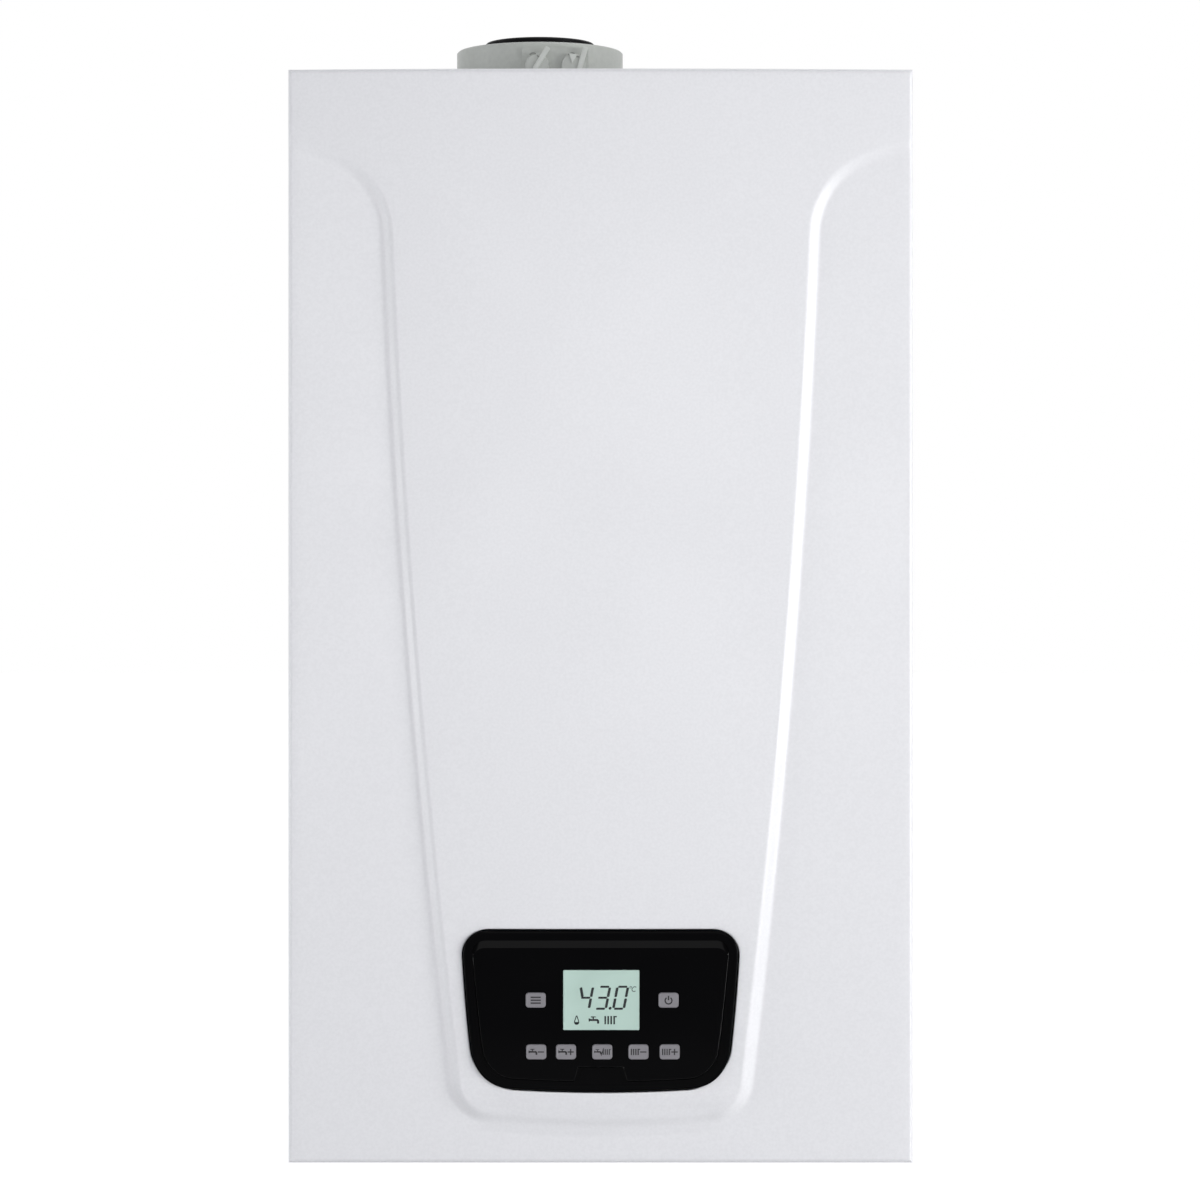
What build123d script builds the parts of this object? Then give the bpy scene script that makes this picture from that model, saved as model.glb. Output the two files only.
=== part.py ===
from build123d import *
import math
import os

# A wall-hung condensing combi boiler, in millimetres.
# The wall is the plane Y = 0, the front faces -Y and +Z is up. The origin is the centre of the
# wall bracket's line of fixing slots. Places inside the boiler are given as x, as depth from the
# wall and as height above the underside of the case.

# ---- Case ----
case_width = 400.0
case_height = 700.0
hang_drop = 60.0               # fixing line below the top of the case
side_depth = 252.0             # wall to the front edge of the side panels
sheet = 1.0                    # steel sheet of the case
flange = 14.0                  # turned-in edges of the case
frame_depth = 11.0             # wall to the front of the rear frame's back sheet
bottom_height = 21.0           # top of the bottom plate above the underside
seal_thickness = 3.5
seal_width = 10.0
seal_inset = 2.5               # seal to the outside of the case

# ---- Front cover ----
cover_depth = 35.0             # turned-back edges of the cover
crown = 7.0                    # how far the plateau bows forward at the middle
edge_rise = 0.4                # plateau above the flat field where it meets the sides
cover_edge = 3.0               # outside radius of the cover's edges
cover_lip = 14.0               # edge turned in behind the cover
plateau_taper = 50.0           # slope of the plateau's side, degrees from straight forward
plateau_foot = 3.2             # foot of the slope outside its middle line
plateau_bottom = 26.3          # middle line of the slope, above the underside, at the centre
plateau_corner = 24.0
plateau_corner_x = 91.4
plateau_corner_height = 32.3
plateau_waist_x = 123.6
plateau_waist_height = 359.7
plateau_top_x = 137.0
plateau_top_height = 595.0
plateau_turn = 54.0            # radius where the slope turns outwards at the top
plateau_tail = 18.2            # slope of the last stretch, degrees above level

# ---- Fascia ----
fascia_top = 149.3             # above the underside of the case
fascia_bottom = 46.8
fascia_top_x = 88.6
fascia_waist_x = 85.5
fascia_waist_height = 104.5
fascia_bottom_x = 79.4
fascia_bottom_rise = 3.4
fascia_top_corner = 14.0
fascia_bottom_corner = 25.0
fascia_wall = 3.0
fascia_proud = 1.5             # front of the fascia before the crown of the cover
fascia_rim = 6.0               # glossy rim around the inner plate
window_gap = 1.0               # cover's cut-out to the fascia
window_lip = 5.0
plate_thickness = 1.2
plate_gap = 0.15
plate_notch_width = 34.0
plate_notch_height = 8.0
display_width = 48.7
display_height = 38.3
display_corner = 0.8
display_level = 105.2          # middle of the display above the underside
button_width = 12.8
button_height = 9.6
button_corner = 2.0
button_gap = 0.25
button_proud = 0.8
button_travel = 1.0
button_flange = 1.4
button_level = 72.2            # row of buttons under the display
button_places = {
    "button_menu": (-41.4, display_level),
    "button_power": (43.3, display_level),
    "button_water_down": (-41.1, button_level),
    "button_water_up": (-22.1, button_level),
    "button_mode": (1.0, button_level),
    "button_heating_down": (24.1, button_level),
    "button_heating_up": (44.0, button_level),
}

# ---- Control box ----
box_width = 300.0
box_bottom = 34.0
box_top = 188.0
box_stand = 16.0               # tray's front before the front edge of the case
box_depth = 76.0
box_wall = 2.5
lid_thickness = 2.0
hinge_height = 42.0
hinge_inset = 10.0             # hinge behind the tray's front
hinge_pin_radius = 3.0
pin_clearance = 0.05
board_thickness = 1.6

# ---- Flue ----
flue_x = -41.0
flue_depth = 149.0
collar_radius = 56.0
collar_height = 30.0           # above the case
air_radius = 50.3              # socket of the outer air duct
flue_radius = 30.0             # socket of the flue
flue_wall = 3.0
flue_end = 32.0                # end of the flue socket above the case
seal_top = 36.0                # top of the lip seal above the case

# ---- Heat exchanger and burner ----
exchanger_drop = 185.0         # exchanger's axis below the top of the case
exchanger_radius = 100.0
exchanger_back = 45.0
exchanger_front = 200.0
exchanger_wall = 3.0
door_radius = 107.0
door_thickness = 8.0
coil_inner = 86.0
coil_turns = 9
burner_radius = 35.0
stub_x = 54.0                  # water stubs, each side of the exchanger's axis
stub_drop = 110.0              # end of the stubs below the exchanger's axis
pipe_radius = 9.0
channel_width = 60.0           # mixture channel on the burner door
channel_depth = 32.0
channel_drop = 115.0           # joint with the fan below the exchanger's axis
channel_wall = 3.0

# ---- Fan and gas valve ----
fan_x = -80.0
fan_drop = 70.0                # fan's axis below the joint with the channel
fan_radius = 63.0
fan_back = 200.0
fan_front = 240.0
fan_wall = 2.5
impeller_radius = 50.0
motor_radius = 36.0
motor_depth = 30.0
shaft_radius = 4.0
venturi_back = 158.0
valve_x = 44.0
valve_width = 64.0
valve_back = 170.0
valve_front = 234.0
valve_drop = 30.0              # gas valve's underside below the fan's axis
valve_height = 84.0

# ---- Water side ----
tail_pitch = 65.0              # connections in a row
tail_depth = 100.0             # wall to the connections
tail_end = -16.0               # threaded ends below the underside
nut_bottom = 4.0
nut_top = 16.0
tail_top = 40.0
large_thread = 13.2            # G3/4
small_thread = 10.5            # G1/2
group_bottom = 70.0
group_top = 120.0
group_back = 75.0
group_front = 125.0
group_inner_x = 50.0
group_outer_x = 150.0
plates_width = 170.0
plates_back = 27.0
plates_bottom = 66.0
plates_top = 146.0
plate_count = 12
return_outer_x = 180.0
pump_x = 118.0
pump_height = 165.0
pump_radius = 44.0
pump_back = 78.0
pump_front = 118.0
pump_motor_radius = 40.0
pump_motor_front = 180.0
pump_shaft = 3.0
pump_impeller_radius = 32.0
vessel_side = 13.0             # vessel to the outside of the case
vessel_width = 95.0
vessel_depth = 220.0
vessel_bottom = 270.0
vessel_drop = 30.0             # top of the vessel below the top of the case
vessel_corner = 60.0
trap_side = 28.0               # trap's axis to the outside of the case
trap_depth = 150.0
trap_radius = 20.0
trap_clearance = 2.0           # diverter motor to the trap
trap_top = 170.0
outlet_radius = 10.75
relief_x = 80.0
relief_depth = 140.0
relief_height = 95.0
relief_radius = 7.5
filling_x = 97.5
gauge_x = -97.5
gauge_depth = 165.0
gauge_radius = 20.0
gland_x = 20.0
gland_depth = 165.0
gland_radius = 9.0
diverter_height = 95.0
spindle_radius = 3.0
spindle_travel = 6.0


# ---- Smaller sizes ----
seat_gap = 0.3                 # pieces that sit against each other without touching
bracket_width = 260.0
bracket_height = 40.0
bracket_sheet = 2.0
ledge_rise = 15.0              # bracket's ledge above the fixing line
hook_depth = 8.0
hook_rise = 13.0
slot_spacing = 200.0
slot_length = 20.0
slot_radius = 4.25
rail_width = 240.0
rail_sheet = 1.5
rail_back = 3.2
rail_drop = 11.0
ear_x = 152.0                  # hinge ears of the bottom plate
ear_sheet = 2.0
ear_reach = 7.0
tab_height = 1.2               # tabs for the cover screws
tab_length = 30.0
tab_width = 24.0
tab_slot = 2.4
screw_x = 120.0
screw_stand = 18.0             # screws before the front edge of the case
screw_radius = 2.0
screw_head = 2.0
screw_length = 8.0
screw_head_radius = 4.0
hole_gap = 1.5                 # pipes to the bottom plate's holes
skirt_gap = 1.0
rim_edge = 1.2
display_x = 0.4
display_frame = 8.0
display_air = 0.3
plate_notch_angle = 72.0
display_stand = 8.0            # display board before the tray's front
switch_size = 6.0
switch_height = 3.5
board_low = 60.0
board_high = 142.0
board_reach = 70.0
flange_play = 0.2
flange_sheet = 1.2
stem_radius = 2.0
stem_gap = 0.2
button_edge = 0.6
box_corner = 4.0
lid_gap = 0.2
lid_rim = 6.0
post_radius = 4.0
main_board_stand = 13.0        # main board before the lid
main_board_width = 270.0
main_board_height = 130.0
# Rows of blocks on the main board: x, height, width, height of each, how far it stands out
board_blocks = [
    (-100.0, 125.0, 44.0, 38.0, 32.0),
    (30.0, 140.0, 20.0, 26.0, 16.0),
    (-10.0, 96.0, 15.0, 15.0, 26.0),
    (0.0, 62.0, 26.0, 10.0, 12.0),
]
block_counts = [1, 5, 4, 7]
block_pitch = 1.3              # of the blocks in a row, in block widths
pin_head_radius = 5.0
pin_head = 2.0
gland_nut = 4.0
gland_bore = 4.0
gland_grip = 4.0               # hexagons outside the thread
gland_dome = 1.0
gland_round = 2.0
collar_skirt = 51.8            # part of the adapter inside the top plate's hole
skirt_length = 10.0
foot_width = 5.0
foot_height = 3.0
collar_round = 1.0
web_bite = 1.0
web_thickness = 4.0
web_count = 3
boss_width = 44.0              # flat boss that carries the two sampling points
boss_height = 25.0
boss_proud = 1.0
port_shift = 11.0
port_spacing = 24.0
port_height = 13.5
port_radius = 8.0
cap_length = 5.0
cap_edge = 1.0
boss_corner = 2.0
lip_radius = 37.0
lip_step = 1.0
lip_inset = 0.5
air_seal = 0.5                 # how far the air socket's seal stands out of its groove
groove_drop = 5.0              # groove below the mouth of the air socket
groove_height = 4.0
groove_depth = 1.5
spigot_radius = 28.0
spigot_drop = 25.0             # top of the spigot below the top of the case
spigot_wall = 2.0
spigot_stand = 2.0             # stop in the flue socket above the spigot
spigot_grip = 20.0             # adapter over the spigot
hose_depth = 120.0
hose_radius = 8.0
hose_level = 250.0
coil_back = 60.0
coil_front = 180.0
coil_groove = 4.0
coil_land = 0.7                # share of the pitch before the groove, and its lowest point
coil_dip = 0.85
burner_back = 100.0
burner_flange = 2.0
burner_rim = 3.0
burner_sheet = 1.0
electrode_spacing = 80.0
electrode_rise = 18.0
electrode_rod = 1.2
electrode_reach = 42.0
ceramic_inside = 12.0
ceramic_outside = 14.0
ceramic_collar = 3.0
ceramic_collar_length = 4.0
ceramic_radius = 4.5
exchanger_round = 8.0
stub_wall = 1.5
door_edge = 2.0
channel_round = 27.0
channel_edge = 8.0
nut_circle = 100.0
nut_count = 6
nut_size = 5.5
venturi_bore = 22.0
venturi_throat = 17.0
venturi_throat_depth = 22.0    # from the inlet's mouth
venturi_mouth = 30.0
venturi_lip = 3.0
venturi_lip_depth = 2.0
venturi_cone = 14.0
venturi_wall = 3.0
venturi_flange = 10.0
venturi_flange_thickness = 4.0
housing_edge = 4.0
impeller_gap = 2.5
impeller_disc = 2.0
impeller_ring = 1.5
impeller_ring_width = 14.0
blade_width = 12.0
blade_inset = 8.0              # middle of the blades inside the rim
blade_sheet = 1.6
blade_angle = 35.0
blade_count = 24
shaft_length = 16.0
shaft_gap = 2.0                # shaft to the hole in the housing
end_gap = 1.0                  # end of a blind bore past the shaft in it
motor_foot = 6.0
motor_foot_height = 4.0
motor_foot_offset = 2.0
motor_step = 2.0
motor_edge = 4.0
motor_plug = 6.0
gas_port_depth = 184.0
gas_port_radius = 7.0
gas_port_length = 14.0
gas_valve_depth = 195.0
gas_level = 215.0
valve_cap = 14.0
valve_cap_radius = 15.0
valve_cap_x = 14.0
valve_cap_low = 28.0
valve_cap_high = 58.0
valve_corner = 5.0
valve_edge = 2.0
valve_neck = 4.0
valve_neck_length = 8.0
pipe_wall = 1.0
vessel_port = 5.0
vessel_pipe_x = 170.0
vessel_pipe_level = 240.0
flow_inlet_x = -110.0
flow_bend = 262.5
flow_entry = 180.0
pump_outlet_x = 100.0
pump_outlet_top = 222.0
return_level = 245.0
neck_ring = 56.0
neck_step = 4.0
neck_ring_height = 10.0
hex_grip = 4.0                 # hexagons outside their threads
group_corner = 6.0
group_edge = 2.0
thread_edge = 1.0
plates_corner = 15.0
plates_step = 1.5
tail_wall = 2.0
cartridge_radius = 11.0
cartridge_length = 14.0
spindle_depth = 30.0
spindle_reach = 12.0
diverter_width = 40.0
diverter_motor_depth = 30.0
diverter_dome = 6.0
diverter_corner = 5.0
diverter_edge = 2.0
foot_size = 30.0
pump_chamber = 28.0
pump_bearing = 20.0
volute_edge = 5.0
pump_neck = 3.0
pump_rim = 8.0
pump_flange = 6.0
pump_flange_corner = 12.0
pump_can_step = 2.0
pump_head = 16.0
pump_head_corner = 10.0
pump_head_edge = 3.0
pump_disc = 2.0
pump_channel = 6.0             # between the impeller's discs
pump_vanes = 6
pump_vane_length = 22.4
pump_vane_circle = 19.2
pump_vane_sheet = 2.0
pump_vane_angle = 40.0
vent_x = 128.0
vent_bottom = 212.0
vent_radius = 12.0
vent_base = 9.0
vent_cone = 4.0
vent_body = 34.0
vent_stem = 5.0
vent_cap = 6.0
vent_cap_gap = 2.0
vent_height = 46.0
relief_body = 12.0
relief_front = 152.0
relief_stem = 8.0
knob_height = 12.0
knob_top = 8.0
knob_edge = 2.0
grip_radius = 2.2
grip_offset = 1.5
grip_count = 12
stem_clearance = 0.3           # knob to the piece its stem turns in
tap_radius = 8.0
tap_stem = 12.0
tap_ring = 2.0
tap_ring_height = 12.0
filling_grip_offset = 1.2
filling_grip_radius = 2.0
filling_grip_count = 10
filling_knob_radius = 12.0
gauge_stem = 5.0
gauge_stem_length = 8.0
gauge_depth_below = 17.0
gauge_recess = 3.0
gauge_rim = 1.5
needle_pivot = 1.0
needle_pivot_depth = 2.5
needle_reach = 13.0
needle_tail = 4.0
needle_hub = 2.5
needle_width = 1.2
needle_sheet = 0.8
needle_lift = 0.6
needle_pin = 2.6
trap_nozzle = 12.0
trap_wall = 1.5
trap_edge = 4.0
trap_ring = 3.0
trap_ring_drop = 40.0
trap_ring_height = 12.0
hose_wall = 2.0
spigot_step = 0.5              # discharge ends are a little thicker below the bottom plate
spigot_stop = 15.0
vessel_wall = 1.2
seam_width = 8.0               # crimped seam around the vessel
seam_reach = 4.0

# ---- Derived ----
hang_height = case_height - hang_drop
floor_z = -hang_height
half = case_width / 2
cover_back = side_depth + seal_thickness
base_depth = cover_back + cover_depth
crown_depth = base_depth + crown
box_front = side_depth + box_stand
box_back = box_front - box_depth
hinge_depth = box_front - hinge_inset
tab_front = side_depth + tab_length
screw_depth = side_depth + screw_stand
switch_depth = box_front + display_stand
main_board_depth = box_back + main_board_stand
fascia_front = crown_depth + fascia_proud
fascia_face_back = fascia_front - fascia_wall - plate_thickness
bracket_ledge = hang_height + ledge_rise
hook_top = bracket_ledge + hook_rise
exchanger_height = case_height - exchanger_drop
stub_end = exchanger_height - stub_drop
channel_bottom = exchanger_height - channel_drop
fan_height = channel_bottom - fan_drop
valve_bottom = fan_height - valve_drop
valve_top = valve_bottom + valve_height
spigot_top = case_height - spigot_drop
adapter_end = spigot_top - spigot_grip
groove_top = case_height + collar_height - groove_drop
groove_bottom = groove_top - groove_height
trap_x = trap_side - half
diverter_x = trap_x + trap_radius + trap_clearance + diverter_width / 2
vessel_x = half - vessel_side - vessel_width / 2
vessel_top = case_height - vessel_drop
vessel_back = frame_depth + seat_gap
vessel_front = vessel_back + vessel_depth
trap_bottom = bottom_height + seat_gap
electrode_height = exchanger_height + electrode_rise
gas_port_start = fan_x + venturi_bore + venturi_wall / 3
dial = bottom_height - sheet - gauge_depth_below + gauge_recess
connection_x = [tail_pitch * place for place in (-2, -1, 0, 1, 2)]
connection_thread = [large_thread, small_thread, large_thread, small_thread, large_thread]


def face(depth):
    """Plane at a depth from the wall, seen from the front: x, height."""
    return Plane(origin=(0, -depth, floor_z), x_dir=(1, 0, 0), z_dir=(0, -1, 0))


def under(height):
    """Plane at a height above the underside, seen from below: x, depth."""
    return Plane(origin=(0, 0, floor_z + height), x_dir=(1, 0, 0), z_dir=(0, 0, -1))


def flank(x):
    """Upright plane across the boiler, seen from the left: depth, height."""
    return Plane(origin=(x, 0, floor_z), x_dir=(0, -1, 0), z_dir=(-1, 0, 0))


def upright(x, depth):
    return Axis((x, -depth, 0), (0, 0, 1))


def level(x, height):
    return Axis((x, 0, floor_z + height), (0, -1, 0))


def place(x, depth, height):
    return (x, -depth, floor_z + height)


# ---- Case ----

def wall_bracket():
    """Hanging bar with two slots; its upstand carries the rear frame."""
    with BuildPart() as bracket:
        with BuildSketch(flank(bracket_width / 2)):
            with BuildLine():
                Polyline(
                    (0, hang_height - bracket_height / 2), (bracket_sheet, hang_height - bracket_height / 2),
                    (bracket_sheet, bracket_ledge), (hook_depth, bracket_ledge),
                    (hook_depth, hook_top), (hook_depth - bracket_sheet, hook_top),
                    (hook_depth - bracket_sheet, bracket_ledge + bracket_sheet),
                    (0, bracket_ledge + bracket_sheet),
                    close=True,
                )
            make_face()
        extrude(amount=bracket_width)
        with BuildSketch(face(0)):
            with Locations((0, hang_height)):
                with GridLocations(slot_spacing, 0, 2, 1):
                    SlotOverall(slot_length, 2 * slot_radius)
        extrude(amount=bracket_sheet, mode=Mode.SUBTRACT)
    return bracket.part


def rear_frame():
    """Back sheet with edges turned back to the wall, and the rail that hangs on the bracket."""
    inside = half - sheet
    with BuildPart() as frame:
        with BuildSketch(face(0)):
            with Locations((0, (bottom_height - sheet + case_height - sheet) / 2)):
                Rectangle(2 * inside, case_height - bottom_height)
        extrude(amount=frame_depth)
        back = frame.faces().sort_by(Axis.Y)[-1]
        offset(amount=-sheet, openings=back)
        rail_top = hook_top + seat_gap + rail_sheet
        with BuildSketch(flank(rail_width / 2)):
            with BuildLine():
                Polyline(
                    (frame_depth - sheet, rail_top - rail_sheet), (frame_depth - sheet, rail_top),
                    (rail_back, rail_top), (rail_back, rail_top - rail_drop),
                    (rail_back + rail_sheet, rail_top - rail_drop),
                    (rail_back + rail_sheet, rail_top - rail_sheet),
                    close=True,
                )
            make_face()
        extrude(amount=rail_width)
    return frame.part


def side_panel(side):
    """Side sheet with its front edge turned in; side is -1 on the left and 1 on the right."""
    outer = side * half
    inner = side * (half - sheet)
    lip = side * (half - flange)
    with BuildPart() as panel:
        with BuildSketch(under(case_height)):
            with BuildLine():
                Polyline(
                    (outer, 0), (outer, side_depth), (lip, side_depth), (lip, side_depth - sheet),
                    (inner, side_depth - sheet), (inner, 0),
                    close=True,
                )
            make_face()
        extrude(amount=case_height)
    return panel.part


def case_plate(top, drop):
    """Flat plate between the side panels, its front edge turned down by drop."""
    with BuildPart() as plate:
        with BuildSketch(under(top)):
            with Locations((0, side_depth / 2)):
                Rectangle(2 * (half - sheet), side_depth)
        extrude(amount=sheet)
        with BuildSketch(under(top - sheet)):
            with Locations((0, side_depth - sheet / 2)):
                Rectangle(2 * (half - flange), sheet)
        extrude(amount=drop - sheet)
        corner = side_depth - sheet
        with BuildSketch(under(top)):
            with Locations((half - flange / 2, corner + sheet / 2), (flange / 2 - half, corner + sheet / 2)):
                Rectangle(flange, sheet)
        extrude(amount=sheet, mode=Mode.SUBTRACT)
    return plate.part


def top_plate():
    with BuildPart() as plate:
        add(case_plate(case_height, flange))
        with BuildSketch(under(case_height)):
            with Locations((flue_x, flue_depth)):
                Circle(collar_skirt + skirt_gap)
        extrude(amount=sheet, mode=Mode.SUBTRACT)
    return plate.part


def bottom_plate():
    """Bottom plate with its pipe holes, the hinge ears and the tabs for the cover screws."""
    with BuildPart() as plate:
        add(case_plate(bottom_height, bottom_height))
        with BuildSketch(under(bottom_height)):
            with Locations((0, frame_depth / 2)):
                Rectangle(2 * half, frame_depth)
            for x, thread in zip(connection_x, connection_thread):
                with Locations((x, tail_depth)):
                    Circle(thread - neck_step + hole_gap)
            with Locations((trap_x, trap_depth)):
                Circle(outlet_radius + hole_gap)
            with Locations((relief_x, relief_depth)):
                Circle(relief_radius + hole_gap)
            with Locations((filling_x, tail_depth)):
                Circle(tap_radius + hole_gap)
            with Locations((gauge_x, gauge_depth)):
                Circle(gauge_stem + hole_gap)
            with Locations((gland_x, gland_depth)):
                Circle(gland_radius)
        extrude(amount=sheet, mode=Mode.SUBTRACT)
        for side in (-1, 1):
            with BuildSketch(flank(side * ear_x + ear_sheet / 2)):
                with BuildLine():
                    Polyline(
                        (hinge_depth - 2 * ear_reach, bottom_height), (side_depth, bottom_height),
                        (hinge_depth + ear_reach, hinge_height - ear_reach),
                        (hinge_depth + ear_reach, hinge_height + ear_reach),
                        (hinge_depth - 2 * ear_reach, hinge_height + ear_reach),
                        close=True,
                    )
                make_face()
                with Locations((hinge_depth, hinge_height)):
                    Circle(hinge_pin_radius + pin_clearance, mode=Mode.SUBTRACT)
            extrude(amount=ear_sheet)
            with BuildSketch(under(tab_height + sheet)):
                with Locations((side * screw_x, (side_depth + tab_front) / 2)):
                    Rectangle(tab_width, tab_front - side_depth + 2 * sheet)
                with Locations((side * screw_x, (screw_depth + tab_front) / 2)):
                    Rectangle(2 * tab_slot, tab_front - screw_depth + 2 * tab_slot, mode=Mode.SUBTRACT)
            extrude(amount=sheet)
    return plate.part


def cover_seal():
    """Foam strip between the case's front edges and the cover."""
    outer_x = half - seal_inset
    with BuildPart() as seal:
        with BuildSketch(face(side_depth)):
            with Locations((0, case_height / 2)):
                Rectangle(2 * outer_x, case_height - 2 * seal_inset)
                Rectangle(
                    2 * (outer_x - seal_width), case_height - 2 * (seal_inset + seal_width),
                    mode=Mode.SUBTRACT,
                )
        extrude(amount=seal_thickness)
    return seal.part


# ---- Front cover ----

def plateau_outline(growth):
    """Outline of the raised plateau: full width at the top, narrow around the fascia."""
    with BuildSketch() as outline:
        with BuildLine():
            foot = ThreePointArc(
                (0, plateau_bottom),
                (plateau_corner_x / 2, plateau_bottom + (plateau_corner_height - plateau_bottom) / 4),
                (plateau_corner_x, plateau_corner_height),
            )
            side = ThreePointArc(
                foot @ 1, (plateau_waist_x, plateau_waist_height), (plateau_top_x, plateau_top_height)
            )
            lean = math.degrees(math.atan2((side % 1).Y, (side % 1).X))
            turn = JernArc(
                start=side @ 1, tangent=side % 1, radius=plateau_turn, arc_size=plateau_tail - lean
            )
            tail = Line(turn @ 1, turn @ 1 + (turn % 1) * plateau_turn)
            Polyline(tail @ 1, ((tail @ 1).X, case_height + flange), (0, case_height + flange))
            mirror(about=Plane.YZ)
        make_face()
        lower = outline.vertices().group_by(Axis.Y)[1]
        fillet(lower, plateau_corner)
        offset(amount=growth, kind=Kind.INTERSECTION)
    return outline.sketch_local


def cover_form(inset):
    """Solid form of the cover, moved inwards by inset: a flat box with the bowed plateau on it."""
    reach = half - inset
    base = base_depth - inset
    slope = math.radians(plateau_taper)
    growth = plateau_foot - inset * (1 - math.sin(slope)) / math.cos(slope)
    with BuildPart() as bowed:
        with BuildSketch(under(case_height - inset)) as section:
            with BuildLine():
                bow = ThreePointArc((-reach, base + edge_rise), (0, base + crown), (reach, base + edge_rise))
                Polyline(bow @ 1, (reach, cover_back), (-reach, cover_back), bow @ 0)
            make_face()
            fillet(section.vertices().sort_by(Axis.Y)[-2:], cover_edge - inset)
        extrude(amount=case_height - 2 * inset)
        bowed_face = bowed.faces().filter_by(GeomType.CYLINDER).sort_by(SortBy.AREA)[-1]
        fillet(bowed_face.edges().filter_by(GeomType.CIRCLE), cover_edge - inset)
        raised = face(base) * plateau_outline(growth)
        extrude(raised, amount=crown + cover_edge, taper=plateau_taper, mode=Mode.INTERSECT)
    with BuildPart() as form:
        with BuildSketch(face(cover_back)):
            with Locations((0, case_height / 2)):
                Rectangle(2 * reach, case_height - 2 * inset)
        extrude(amount=base - cover_back)
        fillet(form.faces().sort_by(Axis.Y)[0].edges(), cover_edge - inset)
        add(bowed.part)
    return form.part


def front_cover():
    """Pressed sheet pan with the fascia's cut-out and a lip turned in behind."""
    outside = cover_form(0)
    with BuildPart() as cut_out:
        lip_back = face(crown_depth - window_lip)
        extrude(lip_back * fascia_outline(window_gap + sheet), amount=window_lip)
        extrude(lip_back * fascia_outline(window_gap), amount=window_lip, mode=Mode.SUBTRACT)
        add(outside, mode=Mode.INTERSECT)
    with BuildPart() as cover:
        add(outside)
        with BuildSketch(face(cover_back)):
            with Locations((0, case_height / 2)):
                Rectangle(case_width, case_height)
        extrude(amount=sheet, mode=Mode.SUBTRACT)
        add(cover_form(sheet), mode=Mode.SUBTRACT)
        with BuildSketch(face(cover_back)):
            with Locations((0, case_height / 2)):
                Rectangle(case_width, case_height)
                Rectangle(case_width - 2 * cover_lip, case_height - 2 * cover_lip, mode=Mode.SUBTRACT)
            with Locations((-screw_x, 0), (screw_x, 0)):
                Rectangle(tab_width + 2 * skirt_gap, 2 * cover_lip, mode=Mode.SUBTRACT)
        extrude(amount=sheet)
        with BuildSketch(under(sheet)):
            with Locations((-screw_x, screw_depth), (screw_x, screw_depth)):
                Circle(screw_radius + pin_clearance)
        extrude(amount=sheet, mode=Mode.SUBTRACT)
        window = face(base_depth - flange) * fascia_outline(window_gap)
        extrude(window, amount=2 * flange, mode=Mode.SUBTRACT)
        add(cut_out.part)
    return cover.part


def cover_screws():
    with BuildPart() as screws:
        with BuildSketch(under(0)):
            with Locations((-screw_x, screw_depth), (screw_x, screw_depth)):
                Circle(screw_head_radius)
        extrude(amount=screw_head)
        with BuildSketch(under(0)):
            with Locations((-screw_x, screw_depth), (screw_x, screw_depth)):
                Circle(screw_radius)
        extrude(amount=-screw_length)
        fillet(screws.faces().sort_by(Axis.Z)[:2].edges(), screw_head / 3)
    return screws.part


# ---- Control box and fascia ----

def fascia_outline(growth):
    """The fascia's outline: wide and level above, tapering to a bowed bottom with large corners."""
    with BuildSketch() as outline:
        with BuildLine():
            top = Line((-fascia_top_x, fascia_top), (fascia_top_x, fascia_top))
            right = ThreePointArc(
                top @ 1,
                (fascia_waist_x, fascia_waist_height),
                (fascia_bottom_x, fascia_bottom + fascia_bottom_rise),
            )
            bottom = ThreePointArc(
                right @ 1, (0, fascia_bottom), (-fascia_bottom_x, fascia_bottom + fascia_bottom_rise)
            )
            ThreePointArc(bottom @ 1, (-fascia_waist_x, fascia_waist_height), top @ 0)
        make_face()
        corners = outline.vertices()
        fillet(corners.sort_by(Axis.Y)[-2:], fascia_top_corner)
        fillet(outline.vertices().sort_by(Axis.Y)[:2], fascia_bottom_corner)
        if growth:
            offset(amount=growth)
    return outline.sketch_local


def key_outlines(gap):
    """Outlines of the seven buttons, grown by gap."""
    with BuildSketch() as outlines:
        with Locations(*button_places.values()):
            RectangleRounded(button_width + 2 * gap, button_height + 2 * gap, button_corner + gap)
    return outlines.sketch_local


def display_outline(gap):
    with BuildSketch() as outline:
        with Locations((display_x, display_level)):
            RectangleRounded(display_width + 2 * gap, display_height + 2 * gap, display_corner + gap)
    return outline.sketch_local


def plate_outline(gap):
    """Inner plate of the fascia, with the notch in the middle of its lower edge."""
    with BuildSketch() as outline:
        add(fascia_outline(-fascia_rim - gap))
        with Locations((0, fascia_bottom + fascia_rim)):
            Trapezoid(
                plate_notch_width + 2 * gap, 2 * (plate_notch_height + gap), plate_notch_angle,
                mode=Mode.SUBTRACT,
            )
    return outline.sketch_local


def fascia_frame():
    """Black front moulding: a rim around the inner plate and a skirt back to the control box."""
    with BuildPart() as frame:
        extrude(face(box_front) * fascia_outline(0), amount=fascia_front - box_front)
        fillet(frame.faces().sort_by(Axis.Y)[0].edges(), rim_edge)
        inside = face(box_front) * fascia_outline(-fascia_wall)
        extrude(inside, amount=fascia_face_back - box_front, mode=Mode.SUBTRACT)
        recess = face(fascia_front - plate_thickness) * plate_outline(0)
        extrude(recess, amount=plate_thickness, mode=Mode.SUBTRACT)
        for hole in (display_outline(plate_gap), key_outlines(button_gap)):
            extrude(face(fascia_face_back) * hole, amount=fascia_wall, mode=Mode.SUBTRACT)
    return frame.part


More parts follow.
